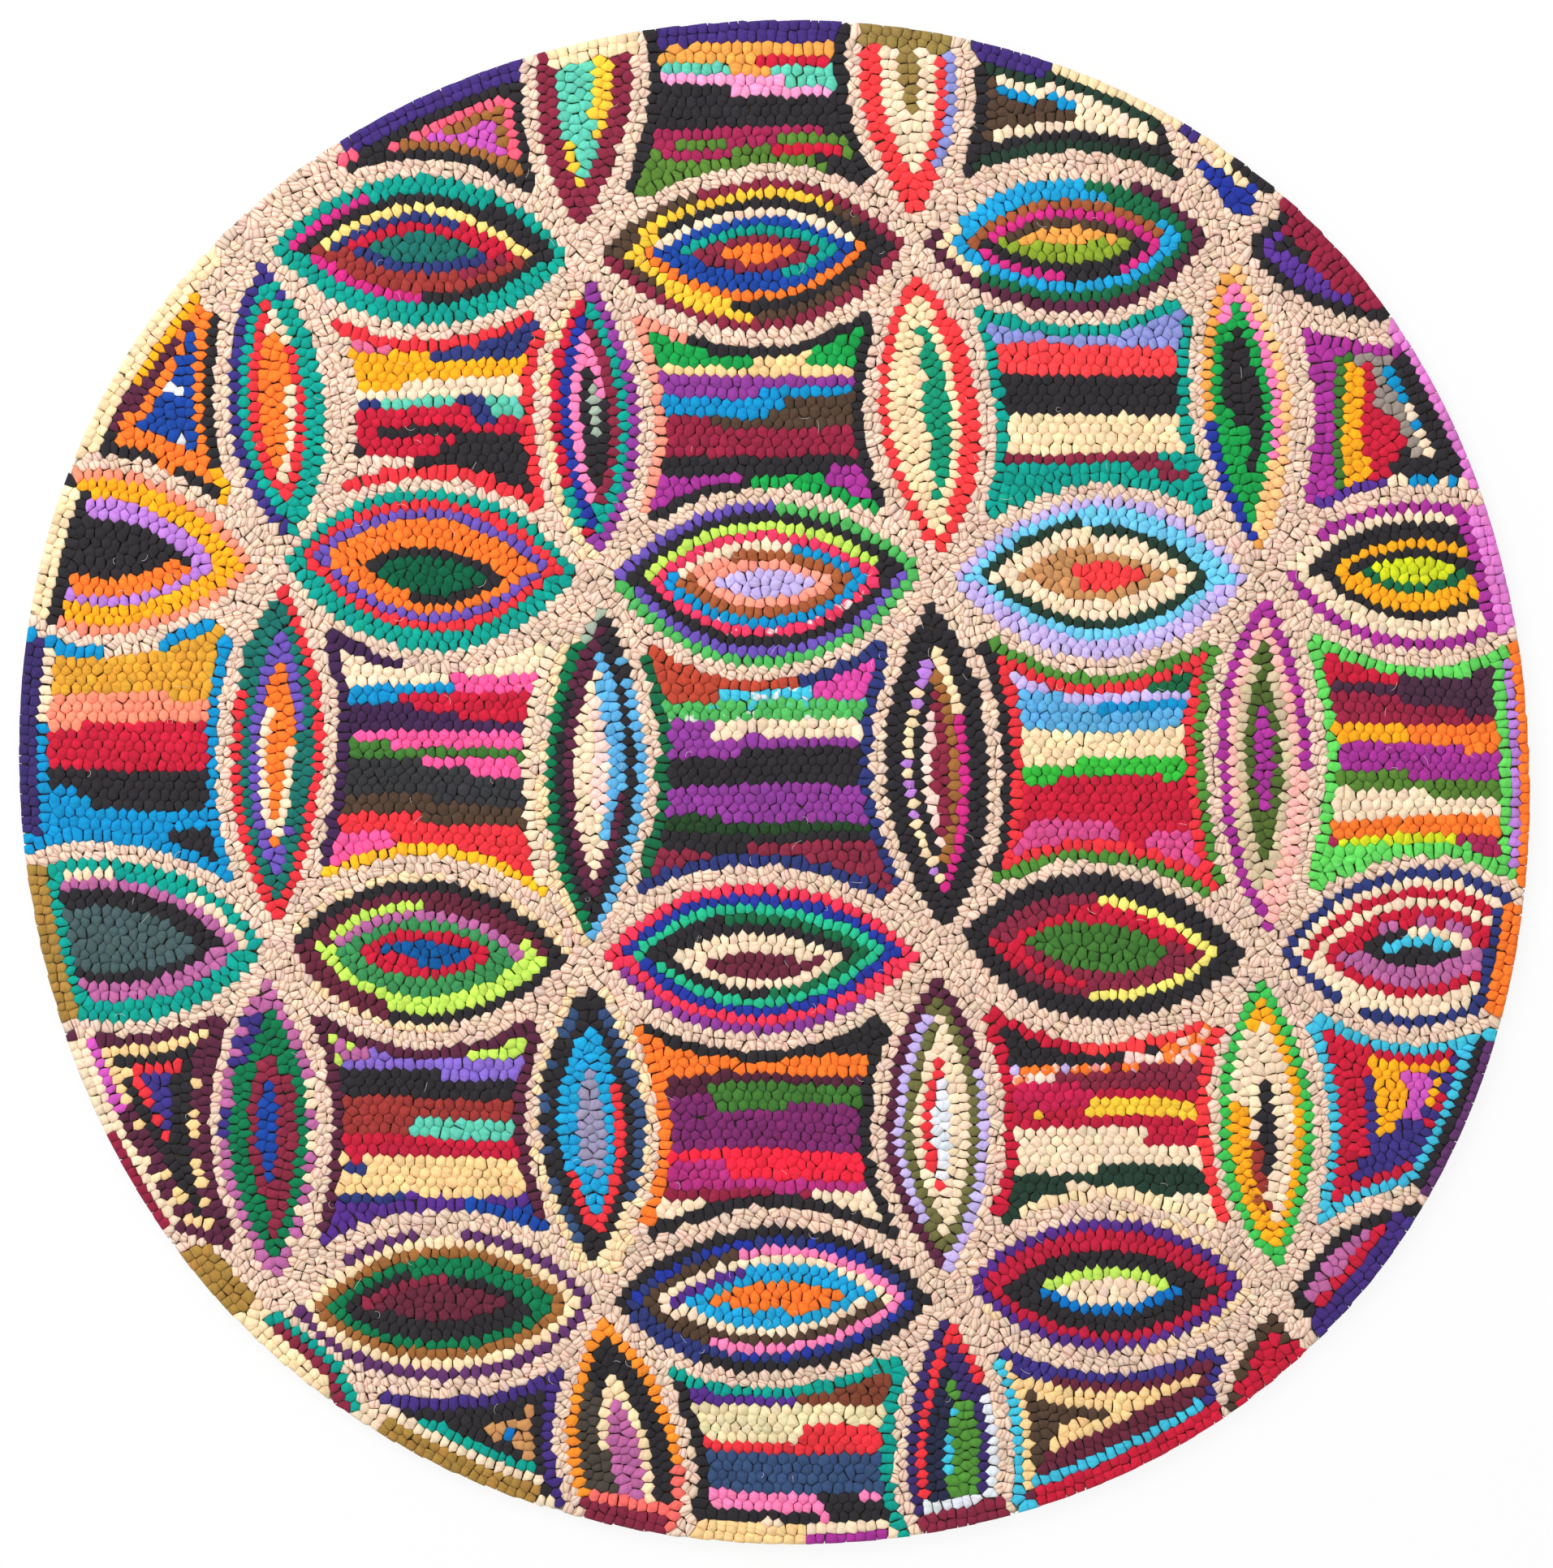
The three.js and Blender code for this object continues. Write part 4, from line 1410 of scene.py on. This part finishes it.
def worked(tree, operation, *terms):
    """The result of one operation of arithmetic."""
    return add_node(tree, "ShaderNodeMath", dict(enumerate(terms)), operation=operation).outputs[0]


def mixed(tree, blend, factor, first, second):
    """A mix of two colours."""
    return add_node(tree, "ShaderNodeMix", {0: factor, 6: first, 7: second}, data_type="RGBA",
                    blend_type=blend).outputs[2]


def painted_crease_shade_group():
    """Painted shade that deepens from the top of the pile down into the creases between the loops.
    """
    group, start, end = new_group(
        "pile depth",
        [("Position", "NodeSocketVector", None), ("Deep", "NodeSocketFloat", 0.004),
         ("High", "NodeSocketFloat", 0.011), ("Darkest", "NodeSocketFloat", 0.2)],
        [("Shade", "NodeSocketFloat")])
    split = add_node(group, "ShaderNodeSeparateXYZ", {0: start.outputs["Position"]})
    shade = stretched(group, split.outputs["Z"], start.outputs["Deep"], start.outputs["High"],
                      start.outputs["Darkest"], 1.0, ease="SMOOTHSTEP")
    group.links.new(shade, end.inputs["Shade"])
    return group


def cotton_fibre_group():
    """Fine fibres and small rumples of cotton: a mottle for the colour and a height for the bump."""
    group, start, end = new_group(
        "cotton fibre",
        [("Position", "NodeSocketVector", None), ("Fibre", "NodeSocketFloat", 1400.0),
         ("Rumple", "NodeSocketFloat", 260.0)],
        [("Mottle", "NodeSocketFloat"), ("Height", "NodeSocketFloat")])
    place = start.outputs["Position"]
    fibre = noise(group, place, start.outputs["Fibre"], roughness=0.6)
    rumple = noise(group, place, start.outputs["Rumple"], roughness=0.55)
    height = worked(group, "MULTIPLY_ADD", fibre, FIBRE_BUMP, rumple)
    mottle = stretched(group, rumple, low=0.3, high=0.7, first=0.93, last=1.06)
    group.links.new(mottle, end.inputs["Mottle"])
    group.links.new(height, end.inputs["Height"])
    return group


def strip_group():
    """Fold lines along a cotton strip, or the twist of plied yarn: a mask for the painted shade in
    the folds and between the plies, and a height for the bump.
    """
    group, start, end = new_group(
        "strip folds",
        [("Place", "NodeSocketVector", None), ("Lines", "NodeSocketFloat", 1.0),
         ("Slant", "NodeSocketFloat", 0.0), ("Rough", "NodeSocketFloat", 4.0)],
        [("Line", "NodeSocketFloat"), ("Height", "NodeSocketFloat")])
    turned = add_node(group, "ShaderNodeVectorRotate", {
        "Vector": start.outputs["Place"], "Angle": start.outputs["Slant"]},
        rotation_type="Z_AXIS")
    wave = add_node(group, "ShaderNodeTexWave", {
        "Vector": turned.outputs[0], "Scale": start.outputs["Lines"],
        "Distortion": start.outputs["Rough"], "Detail": 2.0, "Detail Scale": 1.6},
        wave_type="BANDS", bands_direction="Y").outputs["Fac"]
    # The painted shade lies in the troughs of the bands.
    line = stretched(group, wave, low=0.0, high=0.22, first=1.0, last=0.0, ease="SMOOTHSTEP")
    group.links.new(line, end.inputs["Line"])
    group.links.new(wave, end.inputs["Height"])
    return group


# The darkest share is the painted shade deep in the creases; the line colour and its share are the
# painted shade in the fold lines and between the plies.
CottonFinish = namedtuple("CottonFinish", "fibre rumple lines slant rough line_colour line_share "
                                          "darkest bump fold_bump")
STRIP_FINISH = CottonFinish(
    fibre=1500.0, rumple=300.0, lines=0.5, slant=0.35, rough=6.0, line_colour=(0.55, 0.5, 0.52),
    line_share=0.25, darkest=0.44, bump=0.4, fold_bump=0.5)
TWIST_FINISH = CottonFinish(
    fibre=1700.0, rumple=420.0, lines=0.62, slant=0.75, rough=3.5, line_colour=(0.60, 0.38, 0.30),
    line_share=0.7, darkest=0.50, bump=0.45, fold_bump=0.9)


FIBRE_BUMP = 0.25  # height of the fibres as a share of the rumples
CREASE_DEEP = 8.5 * MM  # height in the pile where the painted crease shade is darkest
CREASE_HIGH = 11.6 * MM  # and where the painted crease shade ends
SPECKS = 95.0  # scale of the second yarn's flecks
CANVAS_PITCH = 1.6 * MM  # distance between the canvas threads
WAVE_RATE = 20  # radians that a band texture turns in one unit of its place
COTTON_SURFACE = {"Roughness": 0.93, "Specular IOR Level": 0.15, "Sheen Weight": 0.06,
                  "Sheen Roughness": 0.6}
CANVAS_SURFACE = {"Roughness": 0.95, "Specular IOR Level": 0.15}
THREAD_SURFACE = {"Roughness": 0.9}
THREAD_COLOUR = (0.83, 0.79, 0.74, 1)


def new_material(name, finish):
    """A material with its nodes, its surface, and the place of each point on the rug."""
    material = bpy.data.materials.new(name)
    material.use_nodes = True
    tree = material.node_tree
    surface = tree.nodes["Principled BSDF"]
    for label, value in finish.items():
        surface.inputs[label].default_value = value
    return material, tree, surface, tree.nodes.new("ShaderNodeTexCoord").outputs["Object"]


def add_bump(tree, surface, height, strength, distance):
    """A bump on a surface."""
    bump = add_node(tree, "ShaderNodeBump", {
        "Strength": strength, "Distance": distance, "Height": height})
    tree.links.new(bump.outputs["Normal"], surface.inputs["Normal"])


def cotton_material(name, finish):
    """Matte cotton in each loop's own yarn, flecked, mottled and folded, with painted shade in the
    fold lines and painted shade darker low in the creases.
    """
    ready = bpy.data.materials.get(name)
    if ready:
        return ready
    material, tree, surface, place = new_material(name, COTTON_SURFACE)
    ply = add_node(tree, "ShaderNodeUVMap", uv_map="ply").outputs["UV"]
    yarn = add_node(tree, "ShaderNodeAttribute", attribute_name="yarn").outputs["Color"]
    fleck = add_node(tree, "ShaderNodeAttribute", attribute_name="fleck").outputs["Color"]
    speck = noise(tree, place, SPECKS, roughness=0.5)
    flecked = stretched(tree, speck, low=0.56, high=0.64, first=0.0, last=0.85)
    fibre = place_group(tree, "cotton fibre", cotton_fibre_group, {
        "Position": place, "Fibre": finish.fibre, "Rumple": finish.rumple})
    folds = place_group(tree, "strip folds", strip_group, {
        "Place": ply, "Lines": finish.lines, "Slant": finish.slant, "Rough": finish.rough})
    # Painted crease shade: the colour darkens lower in the pile, where the loops shade each other.
    depth = place_group(tree, "pile depth", painted_crease_shade_group, {
        "Position": place, "Deep": CREASE_DEEP, "High": CREASE_HIGH, "Darkest": finish.darkest})
    colour = mixed(tree, "MIX", flecked, yarn, fleck)
    colour = mixed(tree, "MULTIPLY", 1.0, colour, fibre.outputs["Mottle"])
    # Painted shade in the fold lines and between the plies.
    share = worked(tree, "MULTIPLY", folds.outputs["Line"], finish.line_share)
    colour = mixed(tree, "MULTIPLY", share, colour, (*finish.line_colour, 1))
    # Multiplies in the painted crease shade.
    colour = mixed(tree, "MULTIPLY", 1.0, colour, depth.outputs["Shade"])
    tree.links.new(colour, surface.inputs["Base Color"])
    height = worked(tree, "MULTIPLY_ADD", folds.outputs["Height"], finish.fold_bump,
                    fibre.outputs["Height"])
    add_bump(tree, surface, height, strength=finish.bump, distance=0.9 * MM)
    return material


def canvas_material(context):
    """Plain-woven natural cotton, seen from below."""
    material, tree, surface, place = new_material("base canvas", CANVAS_SURFACE)
    threads = [add_node(tree, "ShaderNodeTexWave", {
        "Vector": place, "Scale": 2 * math.pi / (WAVE_RATE * CANVAS_PITCH), "Distortion": 0.6,
        "Detail": 1.0}, wave_type="BANDS", bands_direction=direction).outputs["Fac"]
        for direction in "XY"]
    woven = worked(tree, "MULTIPLY", *threads)
    fibre = place_group(tree, "cotton fibre", cotton_fibre_group, {
        "Position": place, "Fibre": 900.0, "Rumple": 35.0})
    canvas = (*linear(np.array(context.scene.rug_yarns.canvas[:])), 1)
    tone = stretched(tree, woven, low=0.0, high=1.0, first=0.72, last=1.08)
    colour = mixed(tree, "MULTIPLY", 1.0, canvas, tone)
    colour = mixed(tree, "MULTIPLY", 1.0, colour, fibre.outputs["Mottle"])
    tree.links.new(colour, surface.inputs["Base Color"])
    add_bump(tree, surface, woven, strength=0.5, distance=0.6 * MM)
    return material


def thread_material():
    """Loose white cotton fibre."""
    material, tree, surface, place = new_material("loose fibre", THREAD_SURFACE)
    fibre = place_group(tree, "cotton fibre", cotton_fibre_group, {
        "Position": place, "Rumple": 500.0})
    colour = mixed(tree, "MULTIPLY", 1.0, THREAD_COLOUR, fibre.outputs["Mottle"])
    tree.links.new(colour, surface.inputs["Base Color"])
    return material


# ---------------------------------------------------------------- pieces


def make_motifs(context, kind):
    """One piece of cotton loops for each motif of a kind."""
    layout = rug_layout(context)
    material = cotton_material("cotton strip", STRIP_FINISH)
    made = 0
    for patch in layout.patches:
        chosen = np.flatnonzero(layout.piece == patch.name)
        if patch.kind == kind and len(chosen):
            loops_piece(context, patch.name, chosen, COTTON_LOOP, material)
            made += 1
    if not made:
        raise RuntimeError(f"the chart has no {kind} with loops")


def make_ground(context):
    """The natural loops between the motifs, in four quarters."""
    layout = rug_layout(context)
    material = cotton_material("twisted cotton", TWIST_FINISH)
    ground = layout.piece == "ground"
    right = layout.xy[:, 0] > 0
    upper = layout.xy[:, 1] > 0
    quarters = {"ground_ne": right & upper, "ground_nw": ~right & upper,
                "ground_sw": ~right & ~upper, "ground_se": right & ~upper}
    for name, quarter in quarters.items():
        loops_piece(context, name, np.flatnonzero(ground & quarter), GROUND_LOOP, material)


def make_rim(context):
    """The bands of cotton loops along the rug's edge."""
    layout = rug_layout(context)
    material = cotton_material("cotton strip", STRIP_FINISH)
    loops_piece(context, "rim", np.flatnonzero(layout.piece == "rim"), COTTON_LOOP, material)


BASE_INSET = 0.6  # millimetres that the base cloth keeps from the rug's edge
BASE_STEPS = 144  # corners round it
BASE_ROUND = 0.35  # how far its two rims are rounded, as a share of its thickness


def make_base(context):
    """The base cloth that the loops are hooked through: one thin disc with a rounded edge."""
    edge = rug_layout(context).edge
    height = context.scene.rug_sizes.base_height
    bm = bmesh.new()
    for step in range(BASE_STEPS):
        angle = 360 * step / BASE_STEPS
        reach = (edge.radius(angle) - BASE_INSET) * MM
        bm.verts.new((reach * math.cos(math.radians(angle)),
                      reach * math.sin(math.radians(angle)), 0))
    rim = list(bm.verts)
    face = bm.faces.new(rim)
    grown = bmesh.ops.extrude_face_region(bm, geom=[face])
    lifted = [item for item in grown["geom"] if isinstance(item, bmesh.types.BMVert)]
    bmesh.ops.translate(bm, verts=lifted, vec=(0, 0, height))
    # Closes the underside where the extrusion took its face along.
    if not any(all(vertex.co.z < height / 2 for vertex in item.verts) for item in bm.faces):
        bm.faces.new(rim)
    bmesh.ops.recalc_face_normals(bm, faces=bm.faces)
    level_edges = [item for item in bm.edges
                   if len({round(vertex.co.z, 6) for vertex in item.verts}) == 1]
    bmesh.ops.bevel(bm, geom=level_edges, offset=height * BASE_ROUND, affect="EDGES", segments=2,
                    profile=0.5, material=-1)
    area = max(item.calc_area() for item in bm.faces)
    mesh = mesh_from(bm, "base_cloth")
    return new_piece(context, mesh, canvas_material(context)), area


FIBRES = 260
FIBRE_SEED = SEED + 7
FIBRE_JOINTS = 7
FIBRE_FIELD = 560.0  # millimetres from the middle within which the fibres lie
FIBRE_HEIGHT = 12.9  # millimetres above the floor, just on the pile
FIBRE_ARCH = 0.7  # millimetres by which a fibre's middle stands higher
FIBRE_CURL = 0.45  # radians by which it turns at a joint
FIBRE_STEP = (0.8, 2.0)  # millimetres between its joints
FIBRE_HALF = 0.12  # half of its width in millimetres
FIBRE_TIP = 0.04  # and at its two ends
FIBRE_RIDGE = 1.6  # height of its ridge as a share of half its width


def add_thread(bm, x, y, heading, curl, step):
    """One fibre: a thin ridge that curls and arches up between its ends."""
    last = FIBRE_JOINTS - 1
    ring = None
    for joint in range(FIBRE_JOINTS):
        height = FIBRE_HEIGHT + FIBRE_ARCH * math.sin(math.pi * joint / last)
        half = FIBRE_HALF if 0 < joint < last else FIBRE_TIP
        side = (-math.sin(heading), math.cos(heading))
        corners = [(x + side[0] * half, y + side[1] * half, height),
                   (x, y, height + half * FIBRE_RIDGE),
                   (x - side[0] * half, y - side[1] * half, height)]
        fresh = [bm.verts.new([value * MM for value in corner]) for corner in corners]
        if ring:
            for index in range(3):
                bm.faces.new((ring[index], ring[index - 1], fresh[index - 1], fresh[index]))
        else:
            bm.faces.new(fresh)
        ring = fresh
        x += math.cos(heading) * step
        y += math.sin(heading) * step
        heading += curl
    bm.faces.new(ring[::-1])


def make_threads(context):
    """Loose white fibres that lie on the pile here and there."""
    rng = np.random.default_rng(FIBRE_SEED)
    bm = bmesh.new()
    for _ in range(FIBRES):
        way = rng.random() * 2 * math.pi
        reach = FIBRE_FIELD * math.sqrt(rng.random())
        heading = rng.random() * 2 * math.pi
        curl = rng.normal(0, FIBRE_CURL)
        step = rng.uniform(*FIBRE_STEP)
        add_thread(bm, reach * math.cos(way), reach * math.sin(way), heading, curl, step)
    bmesh.ops.recalc_face_normals(bm, faces=bm.faces)
    new_piece(context, mesh_from(bm, "loose_fibres"), thread_material())


# ---------------------------------------------------------------- stage

RUG_TOP = CAD_BOX[1].z
LENS = 150.0
SENSOR = 36.0
VIEW_HEIGHT = 1.2519  # metres that the picture shows from top to bottom
VIEW_CENTRE = (0.0016, -0.0016)  # the place on the floor right under the camera
WHITE = (1, 1, 1, 1)
FLOOR_HALF = 6.0  # metres from the middle to the floor's sides
FLOOR_COLOUR = (0.86, 0.86, 0.86, 1)
FLOOR_WHITE = 0.88  # share of plain white in what the camera sees of the floor
SKY_STRENGTH = 0.74
LAMP_SIZE = 2.4
LAMP_POWER = 95.0
LAMP_PLACE = (-1.7, 1.9, 2.6)  # to the upper left, aimed at the middle of the rug


def make_camera(context):
    """A long lens straight above the rug."""
    data = bpy.data.cameras.new("camera")
    data.lens = LENS
    data.sensor_width = SENSOR
    data.clip_end = 50.0
    camera = bpy.data.objects.new("camera", data)
    distance = VIEW_HEIGHT * LENS / SENSOR
    camera.location = (*VIEW_CENTRE, RUG_TOP + distance)
    context.scene.collection.objects.link(camera)
    context.scene.camera = camera


def camera_white(tree, lit, share):
    """Mixes a lit surface with plain white for what the camera sees of it."""
    path = tree.nodes.new("ShaderNodeLightPath")
    seen = worked(tree, "MAXIMUM", path.outputs["Is Camera Ray"], path.outputs["Is Glossy Ray"])
    seen = worked(tree, "MAXIMUM", seen, path.outputs["Is Transmission Ray"])
    white = add_node(tree, "ShaderNodeEmission", {"Strength": 1.0, "Color": WHITE})
    mix = add_node(tree, "ShaderNodeMixShader", {
        0: worked(tree, "MULTIPLY", seen, share), 1: lit, 2: white.outputs[0]})
    return mix.outputs[0]


def make_floor(context):
    """A pale floor that nearly vanishes into the white behind, and keeps the rug's shadow."""
    bm = bmesh.new()
    bmesh.ops.create_grid(bm, x_segments=8, y_segments=8, size=FLOOR_HALF)
    material = bpy.data.materials.new("pale floor")
    material.use_nodes = True
    tree = material.node_tree
    tree.nodes.remove(tree.nodes["Principled BSDF"])
    lit = add_node(tree, "ShaderNodeBsdfDiffuse", {"Color": FLOOR_COLOUR})
    shown = camera_white(tree, lit.outputs[0], FLOOR_WHITE)
    tree.links.new(shown, tree.nodes["Material Output"].inputs["Surface"])
    new_object(context, mesh_from(bm, "floor"), material)


def make_light(context):
    """Soft even light: a white sky and one large lamp from the upper left."""
    world = bpy.data.worlds.new("studio")
    context.scene.world = world
    world.use_nodes = True
    tree = world.node_tree
    background = tree.nodes["Background"]
    background.inputs["Color"].default_value = WHITE
    background.inputs["Strength"].default_value = SKY_STRENGTH
    shown = add_node(tree, "ShaderNodeBackground", {"Strength": 1.0, "Color": WHITE})
    path = tree.nodes.new("ShaderNodeLightPath")
    mix = add_node(tree, "ShaderNodeMixShader", {
        0: path.outputs["Is Camera Ray"], 1: background.outputs[0], 2: shown.outputs[0]})
    tree.links.new(mix.outputs[0], tree.nodes["World Output"].inputs["Surface"])
    lamp = bpy.data.lights.new("soft lamp", "AREA")
    lamp.shape = "SQUARE"
    lamp.size = LAMP_SIZE
    lamp.energy = LAMP_POWER
    holder = bpy.data.objects.new("soft lamp", lamp)
    holder.location = LAMP_PLACE
    context.scene.collection.objects.link(holder)
    aim = -holder.location
    holder.rotation_euler = aim.to_track_quat("-Z", "Y").to_euler()


# ---------------------------------------------------------------- operators and panel


class RUG_OT_stage(bpy.types.Operator):
    """Set the camera, the pale floor and the soft light."""

    bl_idname = "rug.stage"
    bl_label = "Stage"

    def execute(self, context):
        make_camera(context)
        make_floor(context)
        make_light(context)
        context.scene.view_settings.view_transform = "Standard"
        return {"FINISHED"}


class RUG_OT_eyes(bpy.types.Operator):
    """Hook the lying eyes of the pattern."""

    bl_idname = "rug.eyes"
    bl_label = "Eyes"

    def execute(self, context):
        make_motifs(context, "eye")
        return {"FINISHED"}


class RUG_OT_leaves(bpy.types.Operator):
    """Hook the standing leaves of the pattern."""

    bl_idname = "rug.leaves"
    bl_label = "Leaves"

    def execute(self, context):
        make_motifs(context, "leaf")
        return {"FINISHED"}


class RUG_OT_squares(bpy.types.Operator):
    """Hook the striped squares between the eyes and leaves."""

    bl_idname = "rug.squares"
    bl_label = "Squares"

    def execute(self, context):
        make_motifs(context, "square")
        return {"FINISHED"}


class RUG_OT_ground(bpy.types.Operator):
    """Hook the natural ground between the motifs."""

    bl_idname = "rug.ground"
    bl_label = "Ground"

    def execute(self, context):
        make_ground(context)
        return {"FINISHED"}


class RUG_OT_rim(bpy.types.Operator):
    """Hook the bands of colour along the edge."""

    bl_idname = "rug.rim"
    bl_label = "Rim"

    def execute(self, context):
        make_rim(context)
        return {"FINISHED"}


class RUG_OT_fibres(bpy.types.Operator):
    """Scatter the loose fibres that lie on the pile."""

    bl_idname = "rug.fibres"
    bl_label = "Loose fibres"

    def execute(self, context):
        make_threads(context)
        return {"FINISHED"}


class RUG_OT_base(bpy.types.Operator):
    bl_idname = "rug.base"
    bl_label = "Base cloth"

    def execute(self, context):
        base, area = make_base(context)
        return {"FINISHED"}


class RUG_PT_panel(bpy.types.Panel):
    """The rug's operators, sizes and yarns."""

    bl_idname = "RUG_PT_panel"
    bl_label = "Hooked rug"
    bl_space_type = "VIEW_3D"
    bl_region_type = "UI"
    bl_category = "Rug"

    def draw(self, context):
        for operator in OPERATORS:
            self.layout.operator(operator.bl_idname)
        for settings in (context.scene.rug_sizes, context.scene.rug_yarns):
            box = self.layout.box()
            for name in settings.__annotations__:
                box.prop(settings, name)


OPERATORS = (RUG_OT_stage, RUG_OT_eyes, RUG_OT_leaves, RUG_OT_squares, RUG_OT_ground,
             RUG_OT_rim, RUG_OT_fibres, RUG_OT_base)
CLASSES = (RugSizes, RugYarns, *OPERATORS, RUG_PT_panel)


def register():
    """Adds the rug's settings, operators and panel."""
    for item in CLASSES:
        bpy.utils.register_class(item)
    bpy.types.Scene.rug_sizes = bpy.props.PointerProperty(type=RugSizes)
    bpy.types.Scene.rug_yarns = bpy.props.PointerProperty(type=RugYarns)


def unregister():
    """Takes them away again."""
    del bpy.types.Scene.rug_yarns
    del bpy.types.Scene.rug_sizes
    for item in reversed(CLASSES):
        bpy.utils.unregister_class(item)


def main():
    """Builds the stage and every piece."""
    register()
    bpy.ops.rug.stage()
    bpy.ops.rug.eyes()
    bpy.ops.rug.leaves()
    bpy.ops.rug.squares()
    bpy.ops.rug.ground()
    bpy.ops.rug.rim()
    bpy.ops.rug.fibres()
    bpy.ops.rug.base()


if __name__ == "__main__":
    main()
